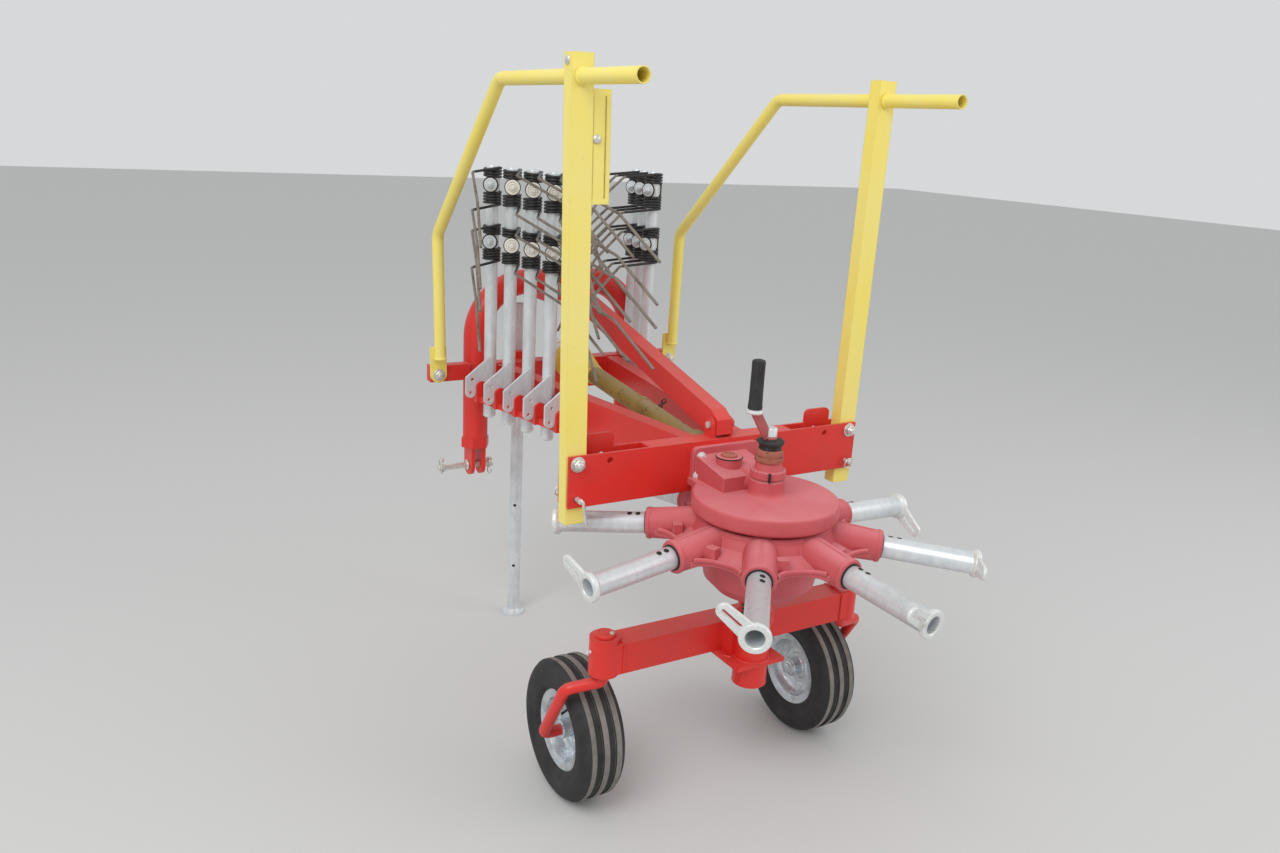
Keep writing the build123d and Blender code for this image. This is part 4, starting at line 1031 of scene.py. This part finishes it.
pivotBolt = {
    "x": 465, "z": 1021, "ends": ((206, 266), (1248, 1300)), "rolls": (12, 33), "rod": 9.8, "rodEnd": 9,
    "washer": ((10, 0), (20.5, 0), (21, 1), (21, 2.6), (20, 3.4), (12, 3.6)),
    "nut": ((16.5, 3), (17.3, 4), (17.3, 13), (15, 15.5), (11, 15.5)),
    "tip": ((9.6, 14), (10, 16), (9.3, 17.5), (10, 19), (9.3, 20.5), (7, 22)),
}


def addPivotBolts():
    nut = softened(turned("nut", pivotBolt["nut"], 6), 0.6)
    washer = turned("washer", pivotBolt["washer"], 32)
    head = dressed(joined("head", [nut, washer, turned("tip", pivotBolt["tip"], 18)]), zincPlate)
    for side, word in sides:
        x = side * pivotBolt["x"]
        z = pivotBolt["z"]
        parts = []
        for near, far in pivotBolt["ends"]:
            for y, way, roll in zip((near, far), (-1, 1), pivotBolt["rolls"]):
                parts.append(lay(copied(head, "head"), spot(x, y, z), (0, way, 0), roll))
            thick, end, long = pivotBolt["rod"], pivotBolt["rodEnd"], far - near
            profile = ((end, 0), (thick, 1), (thick, long - 1), (end, long))
            parts.append(dressed(spun("rod", profile, 24, (x, near, z), (0, 1, 0)), zincPlate))
        piece = kept(joined("pivotBolts" + word.title(), parts), "frame", 35)
        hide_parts("guard_bolts_" + word)
    discard(head)


# A round wire ring in the plane of two directions
def ring(place, radius, first, second, bar, count=20):
    first = Vector(first).normalized()
    second = Vector(second).normalized()
    turns = [2 * math.pi * i / count for i in range(count)]
    points = [spot(*place) + (first * math.cos(turn) + second * math.sin(turn)) * radius / 1000
              for turn in turns]
    return wire("ring", points, bar, 2, True)


lockPin = {
    "x": 463, "z": 924, "rear": 183, "front": 258, "ringBar": 2.2, "handleBar": 4.6, "handleBend": 8,
    "rearProfile": ((6, 0), (7.6, 1.5), (7.6, 24), (8, 25), (8, 31)),
    "frontProfile": ((8, 0), (7.6, 6), (7.6, 28), (6, 30)),
    "rings": (((463, 191, 919), 15, (1, 0.1, 0.2), (-0.1, -0.25, 1)),
              ((-478, 284, 926), 14, (1, 0.2, 0.1), (0, -0.2, 1))),
    "handle": ((-463, 186, 924), (-456, 184, 922), (-445, 188, 862), (-436, 188, 848)),
}


def addLockPins():
    parts = []
    for side, word in sides:
        for end in ("rear", "front"):
            place = (side * lockPin["x"], lockPin[end], lockPin["z"])
            parts.append(spun("stub", lockPin[end + "Profile"], 20, place, (0, 1, 0)))
    parts += [ring(*settings, lockPin["ringBar"]) for settings in lockPin["rings"]]
    handle = bent([spot(*corner) for corner in lockPin["handle"]], lockPin["handleBend"])
    parts.append(wire("handle", handle, lockPin["handleBar"], 3))
    kept(dressed(joined("lockPins", parts), zincPlate), "frame", 45)


hitchPin = {
    "y": 1300, "z": 665, "x": 247, "bushX": 337.2, "linchX": 436, "linchZ": 643, "rearX": 252, "rearZ": 640,
    "profile": (
        (19, 0), (20, 1.5), (20, 12), (18.5, 14), (14, 14), (14, 90.5), (19, 91), (19, 94.5), (11, 95),
        (11, 192), (10.2, 193), (10.2, 194), (11, 195), (11, 199), (7.5, 202.5),
    ),
    "bush": ((14.3, 0), (19, 0), (20.5, 1), (20.5, 2.2), (14.3, 2.4)),
    "linch": ((3, 0), (4.2, 3), (4.2, 44), (8, 45), (9, 50), (8, 56), (4, 58)),
    "linchRing": 22, "linchBar": 2, "rearRing": 17, "rearBar": 2.4,
}


def addHitchPins():
    y = hitchPin["y"]
    z = hitchPin["z"]
    for side, word in sides:
        out = (side, 0, 0)
        linchX = side * hitchPin["linchX"]
        linchZ = hitchPin["linchZ"]
        pin = spun("pin", hitchPin["profile"], 32, (side * hitchPin["x"], y, z), out)
        bush = spun("bush", hitchPin["bush"], 32, (side * hitchPin["bushX"], y, z), out)
        linch = spun("linch", hitchPin["linch"], 18, (linchX, y, linchZ))
        linchRing = ring((linchX, y, linchZ + 29), hitchPin["linchRing"], (0, 1, -0.1), (side * 0.25, 0.1, 1),
                         hitchPin["linchBar"])
        rearRing = ring((side * hitchPin["rearX"], y, hitchPin["rearZ"]), hitchPin["rearRing"], (0, 1, 0),
                        (0.2, 0, 1), hitchPin["rearBar"])
        parts = [dressed(pin, zincPlate), dressed(bush, brassBush)]
        parts += [dressed(part, zincPlate) for part in (linch, linchRing, rearRing)]
        piece = kept(joined("hitchPin" + word.title(), parts), "frame", 38)
        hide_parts("hitch_pin_" + word)


# Chains: from, to, how far each sags and its number of links
chainShape = {
    "wire": 2.6, "wide": 6, "steps": 12,
    "left": ((-246, 866, 1052), (-212, 846, 1030), 34, 9),
    "right": ((232, 1066, 1046), (206, 1046, 1030), 38, 9),
    "drive": ((28, 705, 1012), (70, 640, 1040), 30, 12),
}


def chain(name, start, end, sag, count):
    places = []
    for i in range(count + 1):
        share = i / count
        hang = Vector((0, 0, sag / 1000 * 4 * share * (1 - share)))
        places.append(spot(*start).lerp(spot(*end), share) - hang)
    wide = chainShape["wide"] / 1000
    links = []
    for i, (here, there) in enumerate(zip(places, places[1:])):
        along = (there - here).normalized()
        across = along.orthogonal().normalized()
        if i % 2:
            across = across.cross(along)
        reach = (there - here).length / 2 + chainShape["wire"] / 1000
        corners = []
        for step in range(chainShape["steps"]):
            turn = 2 * math.pi * step / chainShape["steps"]
            out = math.cos(turn) * wide + math.copysign(reach - wide, math.cos(turn))
            corners.append((here + there) / 2 + along * out + across * math.sin(turn) * wide)
        links.append(wire("link", corners, chainShape["wire"], 1, True))
    return dressed(joined(name, links), darkIron)


def addChains():
    parts = [chain("chain", *chainShape[word]) for side, word in sides]
    kept(joined("rackChains", parts), "frame", 60)


standShape = {
    "place": (-112, 1372), "holes": (208, 458), "facing": 238, "wall": 22.4,
    "foot": ((41, 0), (42, 2), (42, 6), (39, 9.5), (30, 10.5), (27, 12), (24.5, 18), (23.3, 20)),
    "hole": ((5.6, -1.5), (5.9, 0.4), (5.3, 0.8)),
    "pinHalf": 46, "pinZ": 985, "pinBar": 5.5, "ring": 14, "ringZ": 972, "ringBar": 2.2,
}


def addStandDetails():
    x, y = standShape["place"]
    foot = dressed(spun("standFoot", standShape["foot"], 48, (x, y, 0)), galvanised)
    kept(foot, "stand", 40)
    # Each hole is a dark disc laid on the stand's wall, no opening cut: painted shade
    hole = turned("hole", standShape["hole"], 16)
    parts = []
    for facing in (standShape["facing"], standShape["facing"] + 180):
        way = Vector((math.cos(math.radians(facing)), math.sin(math.radians(facing)), 0))
        for z in standShape["holes"]:
            parts.append(lay(copied(hole, "hole"), spot(x, y, z) + way * standShape["wall"] / 1000, way))
    kept(dressed(joined("standHoles", parts), blackAndPaintedShade), "stand", 40)
    discard(hole)
    ends = [spot(x + side * standShape["pinHalf"], y, standShape["pinZ"]) for side in (-1, 1)]
    rod = wire("rod", ends, standShape["pinBar"], 3)
    centre = (x - standShape["pinHalf"], y, standShape["ringZ"])
    loop = ring(centre, standShape["ring"], (0, 1, 0), (0.15, 0, 1), standShape["ringBar"])
    kept(dressed(joined("standPin", [rod, loop]), zincPlate), "frame", 45)


# The drive shaft's guard, turned on its own line
driveShape = {
    "rear": (0, 322.6, 984), "front": (0, 1270, 1074.6), "tube": 31.5, "coneFrom": 680, "coneLong": 170,
    "coneTo": 70, "ribs": 7, "end": 1001.7, "yoke": 33.5, "bore": 17.8, "steelFrom": 30, "dustAndShadeTo": -20,
}


def driveProfile():
    tube = driveShape["tube"]
    first = driveShape["coneFrom"]
    last = first + driveShape["coneLong"]
    wide = driveShape["coneTo"]
    yoke = driveShape["yoke"]
    bore = driveShape["bore"]
    end = driveShape["end"]
    profile = [
        (19, 0), (26, 1), (40, 4), (42, 10), (40, 40), (34, 48), (tube, 52), (tube, 330), (tube + 2.5, 332),
        (tube + 2.5, 352), (tube - 1.5, 354), (tube - 1.5, 660), (tube + 1.5, 664), (tube + 1.5, first),
    ]
    step = driveShape["coneLong"] / driveShape["ribs"]
    for i in range(driveShape["ribs"]):
        low = tube + 4 + (wide - tube - 4) * i / (driveShape["ribs"] - 1)
        at = first + step * i
        profile += [(low - 3, at + 1), (low, at + 4), (low, at + step - 7), (low - 4, at + step - 3)]
    return profile + [
        (wide - 6, last + 1), (wide - 12, last - 2), (40, last - 8), (yoke, last - 2), (yoke, last + 60),
        (yoke - 3, last + 64), (yoke - 3, last + 96), (yoke, last + 100), (yoke, end - 2), (yoke - 2, end),
        (bore + 1, end), (bore, end - 1.5), (bore, end - 78),
    ]


def addDriveGuard():
    rear = spot(*driveShape["rear"])
    way = (spot(*driveShape["front"]) - rear).normalized()
    guard = dressed(lay(turned("driveGuard", driveProfile(), 40), rear, way), drivePlastic)
    steelFrom = driveShape["coneFrom"] + driveShape["coneLong"] + driveShape["steelFrom"]
    # The rear tube up to the cone is made darker: dust and painted shade
    dustAndShadeTo = driveShape["coneFrom"] + driveShape["dustAndShadeTo"]
    faced(guard, zincPlate, lambda place: (place - rear).dot(way) * 1000 > steelFrom)
    faced(guard, dustAndShadePlastic, lambda place: (place - rear).dot(way) * 1000 < dustAndShadeTo)
    kept(guard, "frame", 35)
    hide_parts("drive_guard")
    kept(chain("driveChain", *chainShape["drive"]), "frame", 60)


# Guards: domed bolts, the curtain arm's slit, sockets of the knees
guardShape = {
    "x": 465, "pivot": (236, 1021), "lean": {"left": -1.3, "right": 0.6}, "outside": 495, "boltZ": 2018,
    "dome": ((9, 0), (11, 0), (11.5, 1.5), (9.5, 4.5), (5, 6.5), (1.5, 7)),
    "armBolt": (-423, 218, 1840), "slitX": (-434.5, -400), "slitY": 217.4, "slitZ": (1700, 1940),
    "slitBar": 1.3, "collar": ((19.2, 0), (21.5, 0.5), (22.5, 3), (21.5, 5.5), (19.2, 6)),
    "collarY": (209, 257), "collarZ": 1982,
    "foot": ((19.2, 0), (22, 2), (22, 6), (19.2, 9)), "footPlace": (1232, 1078),
}


def addGuardDetails():
    for side, word in sides:
        x = side * guardShape["x"]
        place = (side * guardShape["outside"], guardShape["pivot"][0], guardShape["boltZ"])
        bolts = [spun("dome", guardShape["dome"], 24, place, (side, 0, 0))]
        if side < 0:
            bolts.append(spun("dome", guardShape["dome"], 24, guardShape["armBolt"], (0, -1, 0)))
        parts = [dressed(bolt, zincPlate) for bolt in bolts]
        for slitX in guardShape["slitX"] if side < 0 else ():
            ends = [spot(slitX, guardShape["slitY"], z) for z in guardShape["slitZ"]]
            parts.append(dressed(wire("slit", ends, guardShape["slitBar"], 1), guardEdge))
        sockets = [spun("collar", guardShape["collar"], 32, (x, y, guardShape["collarZ"]), (0, 1, 0))
                   for y in guardShape["collarY"]]
        sockets.append(spun("foot", guardShape["foot"], 32, (x, *guardShape["footPlace"])))
        parts += [dressed(socket, guardYellow) for socket in sockets]
        piece = joined("guardDetails" + word.title(), parts)
        pivot = spot(x, *guardShape["pivot"])
        lean = Matrix.Rotation(math.radians(side * abs(guardShape["lean"][word])), 4, "Y")
        piece.matrix_world = Matrix.Translation(pivot) @ lean @ Matrix.Translation(-pivot)
        kept(settle(piece), "guard_" + word, 40)


# Weld beads along the joints of the red frame: thickness and corners on the right, mirrored to the left
weldShape = {
    "pitch": 9, "wobble": 0.6, "turn": 2.4, "frame": 3.2, "swivel": 3.6, "column": 4, "ringBar": 4.2,
    "ring": 49.5, "ringZ": 464, "ringTurns": (150, 400, 8), "ringWobble": 1.2,
}
beads = (
    ("frame", (57, 265, 1041), (107, 265, 1041)),
    ("frame", (57, 265, 1038), (57, 265, 932)),
    ("frame", (107, 265, 1038), (107, 265, 932)),
    ("frame", (199, 1271, 1041), (249, 1271, 1041)),
    ("frame", (199, 1271, 1038), (199, 1271, 932)),
    ("frame", (249, 1271, 1038), (249, 1271, 932)),
    ("frame", (352, 1299, 1050), (356, 1262, 1050), (352, 1256, 1046), (352, 1256, 994)),
    ("swivel", (379, 62, 552), (379, 142, 552)),
    ("swivel", (379, 61, 548), (379, 61, 468)),
    ("frame", (26, 214, 1044), (26, 262, 1044)),
    ("column", (78, 60, 466), (78, 30, 465), (60, 12, 465)),
)


def weld(corners, radius):
    line = []
    for here, there in zip(corners, corners[1:]):
        count = max(2, int((there - here).length * 1000 / weldShape["pitch"]))
        for i in range(count):
            wobble = weldShape["wobble"] / 1000 * math.sin(i * weldShape["turn"])
            line.append(here.lerp(there, i / count) + Vector((0, 0, wobble)))
    return wire("weld", line + [corners[-1]], radius, 1)


def addWelds():
    parts = []
    for side, word in sides:
        for kind, *corners in beads:
            parts.append(weld([spot(side * x, y, z) for x, y, z in corners], weldShape[kind]))
    radius = weldShape["ring"]
    ringLine = []
    for turn in range(*weldShape["ringTurns"]):
        height = weldShape["ringZ"] + weldShape["ringWobble"] * math.sin(turn)
        angle = math.radians(turn)
        ringLine.append(spot(radius * math.cos(angle), radius * math.sin(angle), height))
    parts.append(wire("weld", ringLine, weldShape["ringBar"], 1))
    kept(dressed(joined("frameWelds", parts), redPaint), "frame", 60)


# Undercarriage: the latch with its spring, collar and rim of the column
latchShape = {
    "place": (-84, -62), "spring": 9.5, "from": 612, "rise": 0.95, "points": 61, "bar": 2.4,
    "rod": (600, 674), "rodBar": 5, "seatZ": 588, "seatThick": 12, "seatSoft": 2.5,
    "seat": ((-34, -34), (-60, -80), (-104, -76), (-104, -46), (-46, -12)),
}
columnShape = {
    "collar": ((48.8, 0), (53, 1), (54, 4), (54, 26), (52, 29), (48.8, 30)), "collarZ": 575,
    "rim": ((48.9, 5), (49.6, 3), (49, 0.5), (46, -1.5), (40, -2.5), (37, 0)), "rimZ": 385,
}


def addUndercarriageDetails():
    x, y = latchShape["place"]
    radius = latchShape["spring"]
    coil = [spot(x + radius * math.cos(i * math.pi / 6), y + radius * math.sin(i * math.pi / 6),
                 latchShape["from"] + i * latchShape["rise"]) for i in range(latchShape["points"])]
    spring = dressed(wire("spring", coil, latchShape["bar"], 2), darkIron)
    rod = dressed(wire("rod", [spot(x, y, z) for z in latchShape["rod"]], latchShape["rodBar"], 2), darkIron)
    kept(joined("latchSpring", [spring, rod]), "frame", 60)
    corners = [spot(*corner, latchShape["seatZ"]) for corner in latchShape["seat"]]
    seat = plate("latchSeat", corners, Vector((0, 0, latchShape["seatThick"] / 1000)))
    kept(dressed(softened(seat, latchShape["seatSoft"]), redPaint), "frame", 40)
    collar = spun("columnCollar", columnShape["collar"], 48, (0, 0, columnShape["collarZ"]))
    kept(dressed(collar, redPaint), "frame", 40)
    rim = spun("columnEnd", columnShape["rim"], 48, (0, 0, columnShape["rimZ"]))
    kept(dressed(rim, redPaint), "frame", 50)


braceBolt = {
    "head": ((12, 0), (14, 1), (14, 9), (12, 11)), "ends": ((-26, -1), (35, 1)), "y": 237.5, "z": 1078,
}


def addBraceBolt():
    parts = []
    for x, way in braceBolt["ends"]:
        head = softened(turned("head", braceBolt["head"], 6), 0.6)
        parts.append(lay(head, spot(x, braceBolt["y"], braceBolt["z"]), (way, 0, 0)))
    kept(dressed(joined("braceBolt", parts), dustyRed), "frame", 35)


for addPieces in (addPivotBolts, addLockPins, addHitchPins, addChains, addStandDetails, addDriveGuard,
                  addGuardDetails, addWelds, addUndercarriageDetails, addBraceBolt):
    addPieces()
print("bolts, pins and welds added")


# Floor, light and camera

stageSettings = {
    "floorColour": (0.62, 0.62, 0.61), "backdrop": (0.80, 0.81, 0.82), "worldStrength": 0.85,
    "keyPower": 190.0, "fillPower": 70.0,
}


def addFloor():
    bpy.ops.object.select_all(action="DESELECT")
    bpy.ops.mesh.primitive_plane_add(size=60.0, location=(0.0, 0.0, 0.0))
    floor = bpy.context.object
    floor.name = "floor"
    material, tree, shader = nodeTree("floorPale")
    shader.inputs["Base Color"].default_value = stageSettings["floorColour"] + (1.0,)
    shader.inputs["Roughness"].default_value = 0.9
    floor.data.materials.append(material)


def addWorld():
    world = bpy.data.worlds.new("studio")
    bpy.context.scene.world = world
    world.use_nodes = True
    tree = world.node_tree
    back = tree.nodes["Background"]
    back.inputs["Color"].default_value = stageSettings["backdrop"] + (1.0,)
    back.inputs["Strength"].default_value = stageSettings["worldStrength"]


def addArea(name, place, target, size, power):
    data = bpy.data.lights.new(name, "AREA")
    data.shape = "SQUARE"
    data.size = size
    data.energy = power
    lamp = bpy.data.objects.new(name, data)
    bpy.context.scene.collection.objects.link(lamp)
    lamp.location = place
    lamp.rotation_euler = (Vector(target) - Vector(place)).to_track_quat("-Z", "Y").to_euler()


cameraSettings = {
    "place": (-1.66743, -2.06538, 1.87432),  # from the rotor's axis on the floor
    "turn": 31.38, "tilt": -16.10, "roll": 3.23, "lens": 29.13,
}


def addCamera():
    turn = math.radians(cameraSettings["turn"])
    tilt = math.radians(cameraSettings["tilt"])
    roll = math.radians(cameraSettings["roll"])
    forward = Vector((math.sin(turn) * math.cos(tilt), math.cos(turn) * math.cos(tilt), math.sin(tilt)))
    level = Vector((math.cos(turn), -math.sin(turn), 0.0))
    up = level.cross(forward)
    right = level * math.cos(roll) + up * math.sin(roll)
    top = up * math.cos(roll) - level * math.sin(roll)
    data = bpy.data.cameras.new("camera")
    data.sensor_width = 36.0
    data.sensor_fit = "HORIZONTAL"
    data.lens = cameraSettings["lens"]
    data.clip_end = 200.0
    camera = bpy.data.objects.new("camera", data)
    bpy.context.scene.collection.objects.link(camera)
    placed = Matrix((right, top, -forward)).transposed().to_4x4()
    placed.translation = Vector(cameraSettings["place"]) + Vector((axisX, axisY, 0.0))
    camera.matrix_world = placed
    bpy.context.scene.camera = camera


addFloor()
addWorld()
addArea("key", (-4.0, -2.5, 5.5), (0.0, 0.0, 0.8), 4.0, stageSettings["keyPower"])
addArea("fill", (4.5, -3.5, 3.5), (0.0, 0.0, 0.8), 4.0, stageSettings["fillPower"])
addCamera()
bpy.context.scene.view_settings.view_transform = "Standard"
print("stage built")
